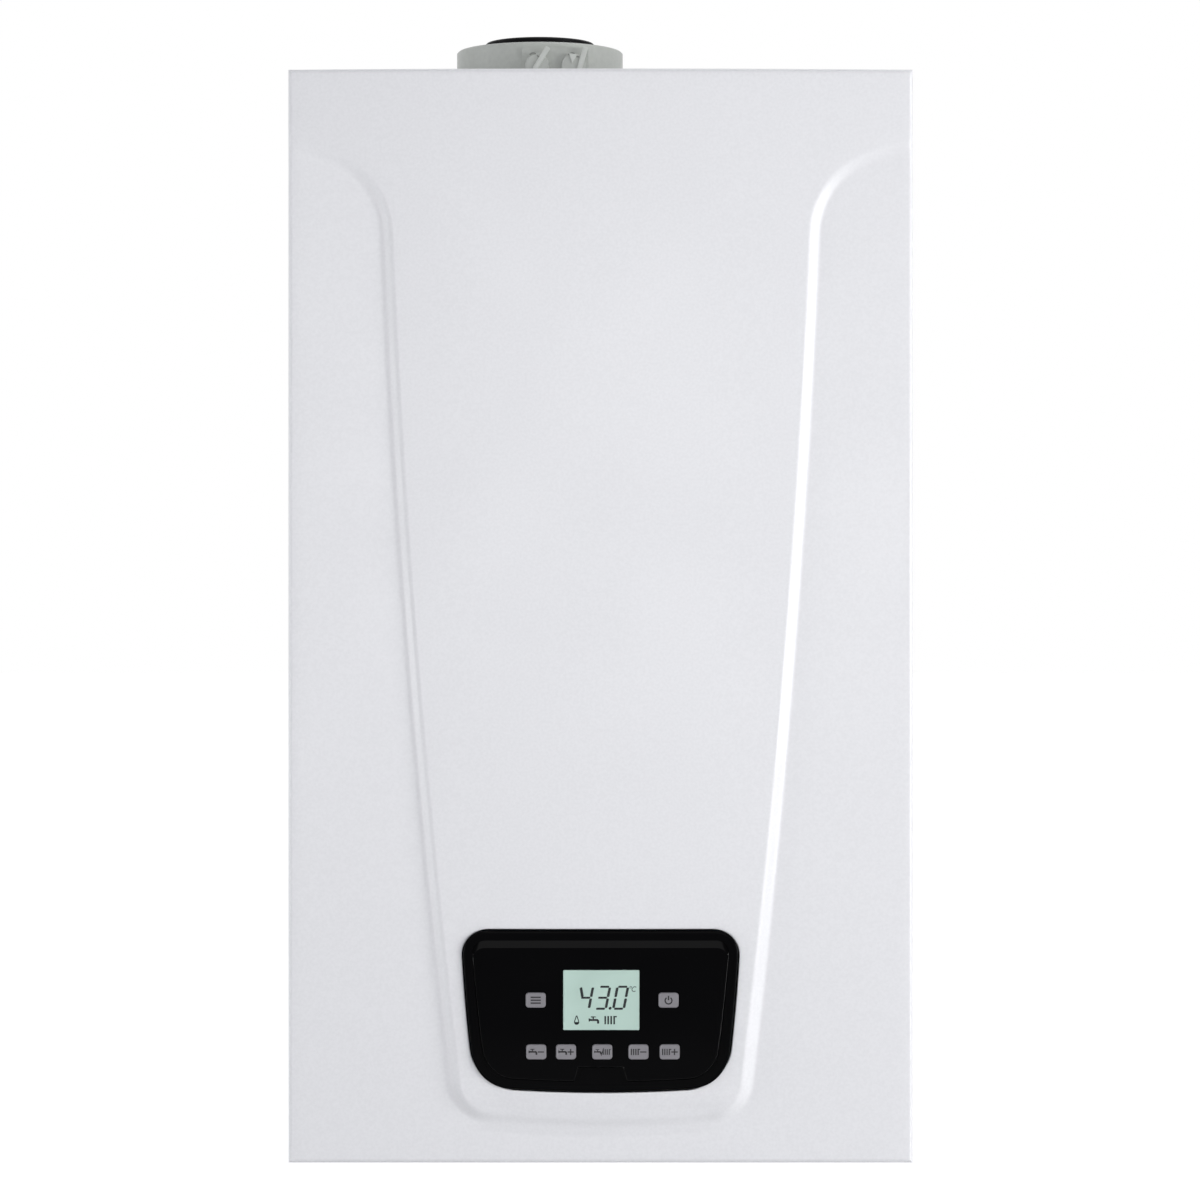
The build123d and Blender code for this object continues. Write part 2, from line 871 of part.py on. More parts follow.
def fascia_plate():
    with BuildPart() as plate:
        back = face(fascia_front - plate_thickness)
        extrude(back * plate_outline(plate_gap), amount=plate_thickness - plate_gap)
        for hole in (display_outline(plate_gap), key_outlines(button_gap)):
            extrude(back * hole, amount=plate_thickness, mode=Mode.SUBTRACT)
    return plate.part


def display_window():
    with BuildPart() as window:
        thickness = fascia_front - plate_gap - fascia_face_back
        extrude(face(fascia_face_back) * display_outline(0), amount=thickness)
    return window.part


def display_board():
    """Board behind the fascia with the display and one switch under each button."""
    board_front = switch_depth + board_thickness
    with BuildPart() as board:
        with BuildSketch(face(switch_depth)):
            with Locations((0, (board_low + board_high) / 2)):
                Rectangle(2 * board_reach, board_high - board_low)
        extrude(amount=board_thickness)
        with BuildSketch(face(board_front)):
            with Locations((display_x, display_level)):
                RectangleRounded(
                    display_width + display_frame, display_height + display_frame, display_corner
                )
        extrude(amount=fascia_face_back - display_air - board_front)
        with BuildSketch(face(board_front)):
            with Locations(*button_places.values()):
                Rectangle(switch_size, switch_size)
        extrude(amount=switch_height)
    return board.part


def button(x, height):
    """Key cap with a retaining flange behind the fascia and a stem to its switch."""
    flange_front = fascia_face_back - flange_play
    stem_back = switch_depth + board_thickness + switch_height + button_travel + stem_gap
    with BuildPart() as cap:
        with BuildSketch(face(flange_front)):
            with Locations((x, height)):
                RectangleRounded(button_width, button_height, button_corner)
        extrude(amount=fascia_front + button_proud - flange_front)
        fillet(cap.faces().sort_by(Axis.Y)[0].edges(), button_edge)
        with BuildSketch(face(flange_front)):
            with Locations((x, height)):
                RectangleRounded(
                    button_width + 2 * button_flange, button_height + 2 * button_flange, button_corner
                )
        extrude(amount=-flange_sheet)
        with BuildSketch(face(flange_front - flange_sheet)):
            with Locations((x, height)):
                Circle(stem_radius)
        extrude(amount=stem_back - flange_front + flange_sheet)
    return cap.part


def control_box_tray():
    """Plastic tray, open at the back, with a hole behind the fascia and two hinge holes."""
    with BuildPart() as tray:
        with BuildSketch(face(box_back)):
            with Locations((0, (box_bottom + box_top) / 2)):
                Rectangle(box_width, box_top - box_bottom)
        extrude(amount=box_front - box_back)
        fillet(tray.edges().filter_by(Axis.Y), box_corner)
        open_back = tray.faces().sort_by(Axis.Y)[-1]
        offset(amount=-box_wall, openings=open_back)
        with BuildSketch(face(box_front)):
            with Locations((0, (board_low + board_high) / 2)):
                Rectangle(2 * board_reach, board_high - board_low)
        extrude(amount=-box_wall, mode=Mode.SUBTRACT)
        with BuildSketch(flank(box_width / 2)):
            with Locations((hinge_depth, hinge_height)):
                Circle(hinge_pin_radius + pin_clearance)
        extrude(amount=box_width, mode=Mode.SUBTRACT)
    return tray.part


def control_box_lid():
    """Flat lid on the back of the tray with a rim that locates inside its walls."""
    rim_outer = box_wall + lid_gap
    with BuildPart() as lid:
        with BuildSketch(face(box_back - lid_thickness)):
            with Locations((0, (box_bottom + box_top) / 2)):
                RectangleRounded(box_width, box_top - box_bottom, box_corner)
        extrude(amount=lid_thickness)
        with BuildSketch(face(box_back)):
            with Locations((0, (box_bottom + box_top) / 2)):
                RectangleRounded(
                    box_width - 2 * rim_outer, box_top - box_bottom - 2 * rim_outer, box_corner - box_wall
                )
                Rectangle(
                    box_width - 2 * (rim_outer + box_wall),
                    box_top - box_bottom - 2 * (rim_outer + box_wall),
                    mode=Mode.SUBTRACT,
                )
        extrude(amount=lid_rim)
        with BuildSketch(face(box_back)):
            with Locations((0, (box_bottom + box_top) / 2)):
                with GridLocations(
                    main_board_width - 4 * post_radius, main_board_height - 4 * post_radius, 2, 2
                ):
                    Circle(post_radius)
        extrude(amount=main_board_depth - seat_gap - box_back)
    return lid.part


def control_board():
    """Main circuit board with its relays, capacitors, transformer and connector row."""
    with BuildPart() as board:
        with BuildSketch(face(main_board_depth)):
            with Locations((0, (box_bottom + box_top) / 2)):
                Rectangle(main_board_width, main_board_height)
        extrude(amount=board_thickness)
        for (x, height, wide, high, tall), count in zip(board_blocks, block_counts):
            with BuildSketch(face(main_board_depth + board_thickness)):
                with Locations((x, height)):
                    with GridLocations(wide * block_pitch, 0, count, 1):
                        Rectangle(wide, high)
            extrude(amount=tall)
    return board.part


def hinge_pins():
    """Two headed pins in the ears of the bottom plate, carrying the control box."""
    with BuildPart() as pins:
        for side in (-1, 1):
            inner = side * (box_width / 2 - box_wall)
            shoulder = side * (ear_x + ear_sheet / 2)
            with BuildSketch(flank(inner)):
                with Locations((hinge_depth, hinge_height)):
                    Circle(hinge_pin_radius)
            extrude(amount=inner - shoulder)
            with BuildSketch(flank(shoulder)):
                with Locations((hinge_depth, hinge_height)):
                    Circle(pin_head_radius)
            extrude(amount=-side * pin_head)
    return pins.part


def cable_gland():
    """Gland for the supply cable in the bottom plate: a collar under it and a nut on top."""
    with BuildPart() as gland:
        with BuildSketch(under(bottom_height + gland_nut)):
            with Locations((gland_x, gland_depth)):
                RegularPolygon(gland_radius + gland_grip, 6)
        extrude(amount=gland_nut)
        with BuildSketch(under(bottom_height)):
            with Locations((gland_x, gland_depth)):
                Circle(gland_radius - pin_clearance)
        extrude(amount=sheet)
        with BuildSketch(under(bottom_height - sheet)):
            with Locations((gland_x, gland_depth)):
                RegularPolygon(gland_radius + gland_grip, 6)
        extrude(amount=gland_nut)
        with BuildSketch(under(bottom_height - sheet - gland_nut)):
            with Locations((gland_x, gland_depth)):
                Circle(gland_radius + gland_dome)
        extrude(amount=gland_nut)
        fillet(gland.faces().sort_by(Axis.Z)[0].edges(), gland_round)
        with BuildSketch(under(bottom_height + gland_nut)):
            with Locations((gland_x, gland_depth)):
                Circle(gland_bore)
        extrude(amount=3 * gland_nut + sheet, mode=Mode.SUBTRACT)
    return gland.part


# ---- Flue ----

def turned(profile, x, depth):
    """Revolves a profile of (radius, height) points about an upright axis."""
    with BuildPart() as body:
        with BuildSketch(face(depth)):
            with BuildLine():
                Polyline(*[(x + radius, height) for radius, height in profile], close=True)
            make_face()
        revolve(axis=upright(x, depth))
    return body.part


def turned_forward(profile, x, height):
    """Revolves a profile of (radius, depth) points about an axis that points forward."""
    with BuildPart() as body:
        with BuildSketch(flank(x)):
            with BuildLine():
                Polyline(*[(depth, height + radius) for radius, depth in profile], close=True)
            make_face()
        revolve(axis=level(x, height))
    return body.part


def flue_adapter():
    """Concentric adapter: a collar with the air socket and, on three webs, the flue socket."""
    top = case_height
    collar = turned(
        [
            (air_radius, top - skirt_length), (collar_skirt, top - skirt_length), (collar_skirt, top),
            (collar_radius + foot_width, top), (collar_radius + foot_width, top + foot_height),
            (collar_radius, top + foot_height), (collar_radius, top + collar_height - collar_round),
            (collar_radius - collar_round, top + collar_height), (air_radius, top + collar_height),
            (air_radius, groove_top), (air_radius + groove_depth, groove_top),
            (air_radius + groove_depth, groove_bottom), (air_radius, groove_bottom),
        ],
        flue_x, flue_depth,
    )
    socket = turned(
        [
            (spigot_radius + seat_gap, adapter_end), (flue_radius + flue_wall, adapter_end),
            (flue_radius + flue_wall, top + flue_end), (flue_radius, top + flue_end),
            (flue_radius, spigot_top + spigot_stand), (spigot_radius + seat_gap, spigot_top + spigot_stand),
        ],
        flue_x, flue_depth,
    )
    with BuildPart() as boss:
        with BuildSketch(face(flue_depth)):
            with Locations((flue_x + port_shift, top + port_height)):
                RectangleRounded(boss_width, boss_height, boss_corner)
        extrude(amount=collar_radius + boss_proud)
        with BuildSketch(under(top + collar_height)):
            with Locations((flue_x, flue_depth)):
                Circle(air_radius + 2 * groove_depth)
        extrude(amount=collar_height, mode=Mode.SUBTRACT)
    with BuildPart() as adapter:
        add(collar)
        add(socket)
        add(boss.part)
        with BuildSketch(under(top)):
            with Locations((flue_x, flue_depth)):
                with PolarLocations((flue_radius + air_radius + flue_wall) / 2, web_count, start_angle=90):
                    Rectangle(air_radius - flue_radius - flue_wall + web_bite, web_thickness)
        extrude(amount=skirt_length)
    return adapter.part


def sampling_caps():
    """Screw caps on the adapter's two sampling points."""
    with BuildPart() as caps:
        with BuildSketch(face(flue_depth + collar_radius + boss_proud)):
            with Locations((flue_x + port_shift, case_height + port_height)):
                with GridLocations(port_spacing, 0, 2, 1):
                    Circle(port_radius)
        extrude(amount=cap_length)
        fillet(caps.faces().sort_by(Axis.Y)[:2].edges(), cap_edge)
    return caps.part


def adapter_seals():
    """Lip seals of the flue socket and of the air socket."""
    top = case_height
    with BuildPart() as seals:
        add(turned(
            [
                (flue_radius + lip_inset, top + flue_end), (lip_radius, top + flue_end),
                (lip_radius, top + seal_top - lip_step), (lip_radius - lip_step, top + seal_top),
                (flue_radius + lip_inset + lip_step, top + seal_top),
                (flue_radius + lip_inset, top + seal_top - lip_step),
            ],
            flue_x, flue_depth,
        ))
        add(turned(
            [
                (air_radius + groove_depth, groove_bottom), (air_radius + groove_depth, groove_top),
                (air_radius, groove_top), (air_radius - air_seal, groove_top - lip_step),
                (air_radius - air_seal, groove_bottom + lip_step), (air_radius, groove_bottom),
            ],
            flue_x, flue_depth,
        ))
    return seals.part


# ---- Heat exchanger and burner ----

def heat_exchanger_body():
    """Round housing with the flue spigot on top and the condensate and water stubs below."""
    with BuildPart() as body:
        add(turned_forward(
            [
                (0, exchanger_back), (exchanger_radius, exchanger_back),
                (exchanger_radius, exchanger_front - door_thickness),
                (door_radius, exchanger_front - door_thickness),
                (door_radius, exchanger_front), (0, exchanger_front),
            ],
            flue_x, exchanger_height,
        ))
        fillet(body.faces().sort_by(Axis.Y)[-1].edges(), exchanger_round)
        with BuildSketch(under(spigot_top)):
            with Locations((flue_x, flue_depth)):
                Circle(spigot_radius)
        extrude(amount=spigot_top - exchanger_height)
        stubs = [
            (flue_x - stub_x, tail_depth), (flue_x + stub_x, tail_depth), (flue_x, hose_depth)
        ]
        with BuildSketch(under(exchanger_height)):
            with Locations(*stubs):
                Circle(pipe_radius)
        extrude(amount=exchanger_height - stub_end)
        bore = exchanger_radius - exchanger_wall
        floor = exchanger_back + exchanger_wall
        chamber = [(0, floor), (bore, floor), (bore, exchanger_front), (0, exchanger_front)]
        add(turned_forward(chamber, flue_x, exchanger_height), mode=Mode.SUBTRACT)
        with BuildSketch(under(spigot_top)):
            with Locations((flue_x, flue_depth)):
                Circle(spigot_radius - spigot_wall)
        extrude(amount=spigot_top - exchanger_height, mode=Mode.SUBTRACT)
        with BuildSketch(under(exchanger_height)):
            with Locations(*stubs):
                Circle(pipe_radius - stub_wall)
        extrude(amount=exchanger_height - stub_end, mode=Mode.SUBTRACT)
    return body.part


def heat_exchanger_coil():
    """The close turns of the coil, as one ribbed sleeve around the burner."""
    coil_outer = exchanger_radius - exchanger_wall - seat_gap
    pitch = (coil_front - coil_back) / coil_turns
    outer = [(coil_outer, coil_back)]
    for turn in range(coil_turns):
        start = coil_back + turn * pitch
        outer += [
            (coil_outer, start + coil_land * pitch), (coil_outer - coil_groove, start + coil_dip * pitch),
        ]
        outer += [(coil_outer, start + pitch)]
    profile = [(coil_inner, coil_back)] + outer + [(coil_inner, coil_front)]
    return turned_forward(profile, flue_x, exchanger_height)


def burner():
    """Cylindrical burner, closed at the back, with the flange that the door clamps."""
    return turned_forward(
        [
            (0, burner_back), (burner_radius, burner_back), (burner_radius, exchanger_front - burner_flange),
            (burner_radius + burner_rim, exchanger_front - burner_flange),
            (burner_radius + burner_rim, exchanger_front),
            (burner_radius - burner_sheet, exchanger_front),
            (burner_radius - burner_sheet, burner_back + burner_sheet), (0, burner_back + burner_sheet),
        ],
        flue_x, exchanger_height,
    )


def burner_door():
    """Cast door with the channel that brings the mixture up from the fan."""
    channel_front = exchanger_front + door_thickness + channel_depth
    with BuildPart() as door:
        with BuildSketch(face(exchanger_front)):
            with Locations((flue_x, exchanger_height)):
                Circle(door_radius)
        extrude(amount=door_thickness)
        fillet(door.faces().sort_by(Axis.Y)[0].edges(), door_edge)
        with BuildSketch(face(exchanger_front)) as channel:
            with BuildLine():
                top = exchanger_height + channel_width / 2
                Polyline(
                    (flue_x - channel_width / 2, channel_bottom),
                    (flue_x + channel_width / 2, channel_bottom),
                    (flue_x + channel_width / 2, top), (flue_x - channel_width / 2, top),
                    close=True,
                )
            make_face()
            fillet(channel.vertices().sort_by(Axis.Y)[-2:], channel_round)
        extrude(amount=channel_front - exchanger_front)
        fillet(door.faces().sort_by(Axis.Y)[0].edges().sort_by(Axis.Z)[1:], channel_edge)
        with BuildSketch(face(exchanger_front + channel_wall)):
            with Locations((flue_x, (channel_bottom + exchanger_height) / 2)):
                Rectangle(channel_width - 2 * channel_wall, exchanger_height - channel_bottom)
            with Locations((flue_x, exchanger_height)):
                Circle(channel_width / 2 - channel_wall)
        extrude(amount=channel_front - exchanger_front - 2 * channel_wall, mode=Mode.SUBTRACT)
        with BuildSketch(face(exchanger_front)):
            with Locations((flue_x, exchanger_height)):
                Circle(channel_width / 2 - channel_wall)
        extrude(amount=channel_wall, mode=Mode.SUBTRACT)
        with BuildSketch(face(exchanger_front)):
            with Locations((flue_x, electrode_height)):
                with GridLocations(electrode_spacing, 0, 2, 1):
                    Circle(ceramic_radius + pin_clearance)
        extrude(amount=door_thickness, mode=Mode.SUBTRACT)
    return door.part


def door_nuts():
    with BuildPart() as nuts:
        with BuildSketch(face(exchanger_front + door_thickness)):
            with Locations((flue_x, exchanger_height)):
                with PolarLocations(nut_circle, nut_count):
                    RegularPolygon(nut_size, 6)
        extrude(amount=nut_size)
        with BuildSketch(face(exchanger_front + door_thickness + nut_size)):
            with Locations((flue_x, exchanger_height)):
                with PolarLocations(nut_circle, nut_count):
                    Circle(nut_size / 2)
        extrude(amount=nut_size / 2)
    return nuts.part


def electrodes():
    """Ignition and flame electrodes: a ceramic through the door and a rod towards the burner."""
    with BuildPart() as pair:
        ceramic_length = ceramic_inside + door_thickness + ceramic_outside
        for depth, radius, length in (
            (exchanger_front - ceramic_inside, ceramic_radius, ceramic_length),
            (exchanger_front + door_thickness, ceramic_radius + ceramic_collar, ceramic_collar_length),
            (exchanger_front - electrode_reach, electrode_rod, electrode_reach),
        ):
            with BuildSketch(face(depth)):
                with Locations((flue_x, electrode_height)):
                    with GridLocations(electrode_spacing, 0, 2, 1):
                        Circle(radius)
            extrude(amount=length)
    return pair.part


# ---- Fan and gas ----

def fan_housing():
    """Scroll housing with its outlet duct up to the burner door."""
    duct_left = flue_x - channel_width / 2
    duct_right = fan_x + fan_radius
    duct_width = duct_right - duct_left
    with BuildPart() as housing:
        with BuildSketch(face(fan_back)):
            with Locations((fan_x, fan_height)):
                Circle(fan_radius)
            with Locations(((duct_left + duct_right) / 2, (fan_height + channel_bottom) / 2)):
                Rectangle(duct_width, channel_bottom - fan_height)
        extrude(amount=fan_front - fan_back)
        fillet(housing.faces().sort_by(Axis.Y)[0].edges().sort_by(Axis.Z)[:-1], housing_edge)
        with BuildSketch(face(fan_back + fan_wall)):
            with Locations((fan_x, fan_height)):
                Circle(fan_radius - fan_wall)
            with Locations(((duct_left + duct_right) / 2, (fan_height + channel_bottom) / 2)):
                Rectangle(duct_width - 2 * fan_wall, channel_bottom - fan_height)
        extrude(amount=fan_front - fan_back - 2 * fan_wall, mode=Mode.SUBTRACT)
        with BuildSketch(face(fan_back)):
            with Locations((fan_x, fan_height)):
                Circle(venturi_bore)
        extrude(amount=fan_wall, mode=Mode.SUBTRACT)
        with BuildSketch(face(fan_front)):
            with Locations((fan_x, fan_height)):
                Circle(shaft_radius + shaft_gap)
        extrude(amount=-fan_wall, mode=Mode.SUBTRACT)
    return housing.part


def fan_impeller():
    """Disc, ring and curved blades on the motor's shaft."""
    blade_start = fan_front - fan_wall - impeller_gap - impeller_disc
    blade_length = blade_start - fan_back - fan_wall - impeller_gap
    with BuildPart() as impeller:
        with BuildSketch(face(blade_start)):
            with Locations((fan_x, fan_height)):
                Circle(impeller_radius)
        extrude(amount=impeller_disc)
        with BuildSketch(face(blade_start)):
            with Locations((fan_x, fan_height)):
                with PolarLocations(impeller_radius - blade_inset, blade_count):
                    Rectangle(blade_width, blade_sheet, rotation=blade_angle)
        extrude(amount=-blade_length)
        with BuildSketch(face(blade_start - blade_length)):
            with Locations((fan_x, fan_height)):
                Circle(impeller_radius)
                Circle(impeller_radius - impeller_ring_width, mode=Mode.SUBTRACT)
        extrude(amount=impeller_ring)
        with BuildSketch(face(blade_start)):
            with Locations((fan_x, fan_height)):
                Circle(shaft_radius)
        extrude(amount=fan_front + shaft_length - blade_start)
    return impeller.part


def fan_motor():
    """Motor pot on the front of the fan, with the bearing bore of its shaft."""
    with BuildPart() as motor:
        with BuildSketch(face(fan_front)):
            with Locations((fan_x, fan_height)):
                Circle(motor_radius)
                with PolarLocations(motor_radius + motor_foot_offset, 3, start_angle=90):
                    Circle(motor_foot)
        extrude(amount=motor_foot_height)
        with BuildSketch(face(fan_front + motor_foot_height)):
            with Locations((fan_x, fan_height)):
                Circle(motor_radius - motor_step)
        extrude(amount=motor_depth - motor_foot_height)
        fillet(motor.faces().sort_by(Axis.Y)[0].edges(), motor_edge)
        with BuildSketch(face(fan_front + motor_depth)):
            with Locations((fan_x, fan_height - motor_radius / 3)):
                Rectangle(motor_radius / 2, motor_radius / 3)
        extrude(amount=motor_plug)
        with BuildSketch(face(fan_front)):
            with Locations((fan_x, fan_height)):
                Circle(shaft_radius + pin_clearance)
        extrude(amount=shaft_length + end_gap, mode=Mode.SUBTRACT)
    return motor.part


def venturi():
    """Air inlet behind the fan, with the port where the gas joins the air."""
    outside = venturi_bore + venturi_wall
    flange_back = fan_back - venturi_flange_thickness
    with BuildPart() as inlet:
        add(turned_forward(
            [
                (venturi_mouth, venturi_back),
                (venturi_mouth + venturi_lip, venturi_back + venturi_lip_depth),
                (outside, venturi_back + venturi_cone), (outside, flange_back),
                (venturi_bore + venturi_flange, flange_back), (venturi_bore + venturi_flange, fan_back),
                (venturi_bore, fan_back), (venturi_throat, venturi_back + venturi_throat_depth),
            ],
            fan_x, fan_height,
        ))
        with BuildSketch(flank(gas_port_start)):
            with Locations((gas_port_depth, fan_height)):
                Circle(gas_port_radius)
        extrude(amount=-gas_port_length)
    return inlet.part


def gas_valve():
    """Gas valve block with its two coil caps, the inlet below and the outlet to the venturi."""
    left = valve_x - valve_width / 2
    port_end = gas_port_start + gas_port_length
    with BuildPart() as valve:
        with BuildSketch(face(valve_back)):
            with Locations((valve_x, (valve_bottom + valve_top) / 2)):
                RectangleRounded(valve_width, valve_top - valve_bottom, valve_corner)
        extrude(amount=valve_front - valve_back - valve_cap)
        with BuildSketch(face(valve_front - valve_cap)):
            with Locations(
                (valve_x - valve_cap_x, valve_bottom + valve_cap_low),
                (valve_x + valve_cap_x, valve_bottom + valve_cap_high),
            ):
                Circle(valve_cap_radius)
        extrude(amount=valve_cap)
        fillet(valve.faces().sort_by(Axis.Y)[:2].edges(), valve_edge)
        with BuildSketch(flank(left)):
            with Locations((gas_port_depth, fan_height)):
                Circle(gas_port_radius)
        extrude(amount=left - port_end)
        with BuildSketch(under(valve_bottom)):
            with Locations((valve_x, gas_valve_depth)):
                Circle(pipe_radius + valve_neck)
        extrude(amount=valve_neck_length)
    return valve.part


def pipe(points, radius, wall, bend):
    """Bent tube through the given places."""
    with BuildPart() as tube:
        with BuildLine() as path:
            FilletPolyline(*[place(*point) for point in points], radius=bend)
        with BuildSketch(Plane(origin=path.line @ 0, z_dir=path.line % 0)):
            Circle(radius)
            Circle(radius - wall, mode=Mode.SUBTRACT)
        sweep(path=path.line)
    return tube.part


def gas_pipe():
    """Gas pipe from its connection up and forward to the valve."""
    return pipe(
        [
            (0, tail_depth, tail_top), (0, tail_depth, gas_level), (valve_x, gas_valve_depth, gas_level),
            (valve_x, gas_valve_depth, valve_bottom - valve_neck_length),
        ],
        pipe_radius, pipe_wall, 2 * pipe_radius,
    )


# ---- Water side ----

def vessel_form(inset):
    """Flat cushion between the two pressings of the vessel, moved inwards by inset."""
    long = vessel_top - vessel_bottom - 2 * (seam_reach + inset)
    deep = vessel_front - vessel_back - 2 * (seam_reach + inset)
    with BuildPart() as form:
        with BuildSketch(flank(vessel_x + vessel_width / 2 - inset)):
            with Locations(((vessel_back + vessel_front) / 2, (vessel_bottom + vessel_top) / 2)):
                RectangleRounded(deep, long, vessel_corner - seam_reach - inset)
        extrude(amount=vessel_width - 2 * inset)
        fillet(form.faces().filter_by(Axis.X).edges(), vessel_width / 4 - inset)
    return form.part


def expansion_vessel():
    """Flat pressed vessel standing at the right, with its crimped seam and water connection."""
    middle = (vessel_back + vessel_front) / 2
    with BuildPart() as vessel:
        add(vessel_form(0))
        with BuildSketch(flank(vessel_x + seam_width / 2)):
            with Locations((middle, (vessel_bottom + vessel_top) / 2)):
                RectangleRounded(vessel_front - vessel_back, vessel_top - vessel_bottom, vessel_corner)
        extrude(amount=seam_width)
        with BuildSketch(under(vessel_bottom + vessel_corner / 2)):
            with Locations((vessel_x, middle)):
                Circle(vessel_port)
        extrude(amount=vessel_corner / 2 + seam_reach)
        add(vessel_form(vessel_wall), mode=Mode.SUBTRACT)
        with BuildSketch(under(vessel_bottom + vessel_corner / 2)):
            with Locations((vessel_x, middle)):
                Circle(vessel_port - pipe_wall)
        extrude(amount=vessel_corner / 2 + seam_reach, mode=Mode.SUBTRACT)
    return vessel.part


def heating_pipes():
    """Flow pipe, return pipe and the small pipe to the expansion vessel."""
    vessel_middle = (vessel_back + vessel_front) / 2
    with BuildPart() as pipes:
        add(pipe(
            [
                (flue_x - stub_x, tail_depth, stub_end), (flue_x - stub_x, tail_depth, flow_bend),
                (flow_inlet_x, tail_depth, flow_entry), (flow_inlet_x, tail_depth, group_top),
            ],
            pipe_radius, pipe_wall, 2.5 * pipe_radius,
        ))
        add(pipe(
            [
                (pump_outlet_x, tail_depth, pump_outlet_top), (pump_outlet_x, tail_depth, return_level),
                (flue_x + stub_x, tail_depth, return_level), (flue_x + stub_x, tail_depth, stub_end),
            ],
            pipe_radius, pipe_wall, 2 * pipe_radius,
        ))
        add(pipe(
            [
                (vessel_x, vessel_middle, vessel_bottom - seam_reach),
                (vessel_x, vessel_middle, vessel_pipe_level),
                (vessel_pipe_x, tail_depth, vessel_pipe_level), (vessel_pipe_x, tail_depth, group_top),
            ],
            vessel_port, pipe_wall, 2 * vessel_port,
        ))
    return pipes.part


def return_group():
    """Brass block under the pump with the necks to the return and cold water connections."""
    with BuildPart() as group:
        with BuildSketch(under(group_top)):
            with Locations(((group_inner_x + return_outer_x) / 2, (group_back + group_front) / 2)):
                RectangleRounded(return_outer_x - group_inner_x, group_front - group_back, group_corner)
        extrude(amount=group_top - group_bottom)
        chamfer(group.faces().sort_by(Axis.Z)[0].edges(), group_edge)
        with BuildSketch(under(group_bottom)):
            with Locations((connection_x[3], tail_depth)):
                Circle(small_thread)
            with Locations((connection_x[4], tail_depth)):
                Circle(large_thread)
        extrude(amount=group_bottom - tail_top)
        with BuildSketch(under(neck_ring)):
            with Locations((connection_x[3], tail_depth), (connection_x[4], tail_depth)):
                RegularPolygon(large_thread + hex_grip, 6)
        extrude(amount=neck_ring_height)
    return group.part


def flow_group():
    """Brass block with the diverter seat and the necks to the flow and hot water connections."""
    with BuildPart() as group:
        with BuildSketch(under(group_top)):
            with Locations((-(group_inner_x + group_outer_x) / 2, (group_back + group_front) / 2)):
                RectangleRounded(group_outer_x - group_inner_x, group_front - group_back, group_corner)
        extrude(amount=group_top - group_bottom)
        chamfer(group.faces().sort_by(Axis.Z)[0].edges(), group_edge)
        with BuildSketch(under(group_bottom)):
            with Locations((connection_x[0], tail_depth)):
                Circle(large_thread)
            with Locations((connection_x[1], tail_depth)):
                Circle(small_thread)
        extrude(amount=group_bottom - tail_top)
        with BuildSketch(under(neck_ring)):
            with Locations((connection_x[0], tail_depth), (connection_x[1], tail_depth)):
                RegularPolygon(large_thread + hex_grip, 6)
        extrude(amount=neck_ring_height)
        with BuildSketch(face(group_front)):
            with Locations((diverter_x, diverter_height)):
                Circle(cartridge_radius)
        extrude(amount=cartridge_length)
        with BuildSketch(face(group_front + cartridge_length)):
            with Locations((diverter_x, diverter_height)):
                Circle(spindle_radius + pin_clearance)
        extrude(amount=-cartridge_length - spindle_depth, mode=Mode.SUBTRACT)
    return group.part


def plate_heat_exchanger():
    """Brazed stack of plates behind the two groups, its edges stepped plate by plate."""
    plate_pitch = (group_back - plates_back) / plate_count
    with BuildPart() as stack:
        with BuildSketch(face(plates_back)):
            with Locations((0, (plates_bottom + plates_top) / 2)):
                RectangleRounded(
                    plates_width - 2 * plates_step, plates_top - plates_bottom - 2 * plates_step,
                    plates_corner - plates_step,
                )
        extrude(amount=group_back - plates_back)
        for layer in range(plate_count):
            with BuildSketch(face(plates_back + layer * plate_pitch)):
                with Locations((0, (plates_bottom + plates_top) / 2)):
                    RectangleRounded(plates_width, plates_top - plates_bottom, plates_corner)
            extrude(amount=plate_pitch / 2)
    return stack.part


def pump_body():
    """Volute with its suction foot, its outlet neck and the boss of the air vent."""
    with BuildPart() as body:
        with BuildSketch(face(pump_back)):
            with Locations((pump_x, pump_height)):
                Circle(pump_radius)
        extrude(amount=pump_front - pump_back)
        fillet(body.faces().sort_by(Axis.Y)[-1].edges(), volute_edge)
        with BuildSketch(under(pump_height)):
            with Locations((pump_x, tail_depth)):
                Rectangle(foot_size, foot_size)
        extrude(amount=pump_height - group_top)
        with BuildSketch(under(pump_outlet_top)):
            with Locations((pump_outlet_x, tail_depth)):
                Circle(pipe_radius + pump_neck)
        extrude(amount=pump_outlet_top - pump_height)
        with BuildSketch(under(vent_bottom)):
            with Locations((vent_x, tail_depth)):
                Circle(vent_base)
        extrude(amount=vent_bottom - pump_height)
        with BuildSketch(face(pump_front)):
            with Locations((pump_x, pump_height)):
                Circle(pump_radius - pump_rim)
        extrude(amount=-pump_chamber, mode=Mode.SUBTRACT)
    return body.part


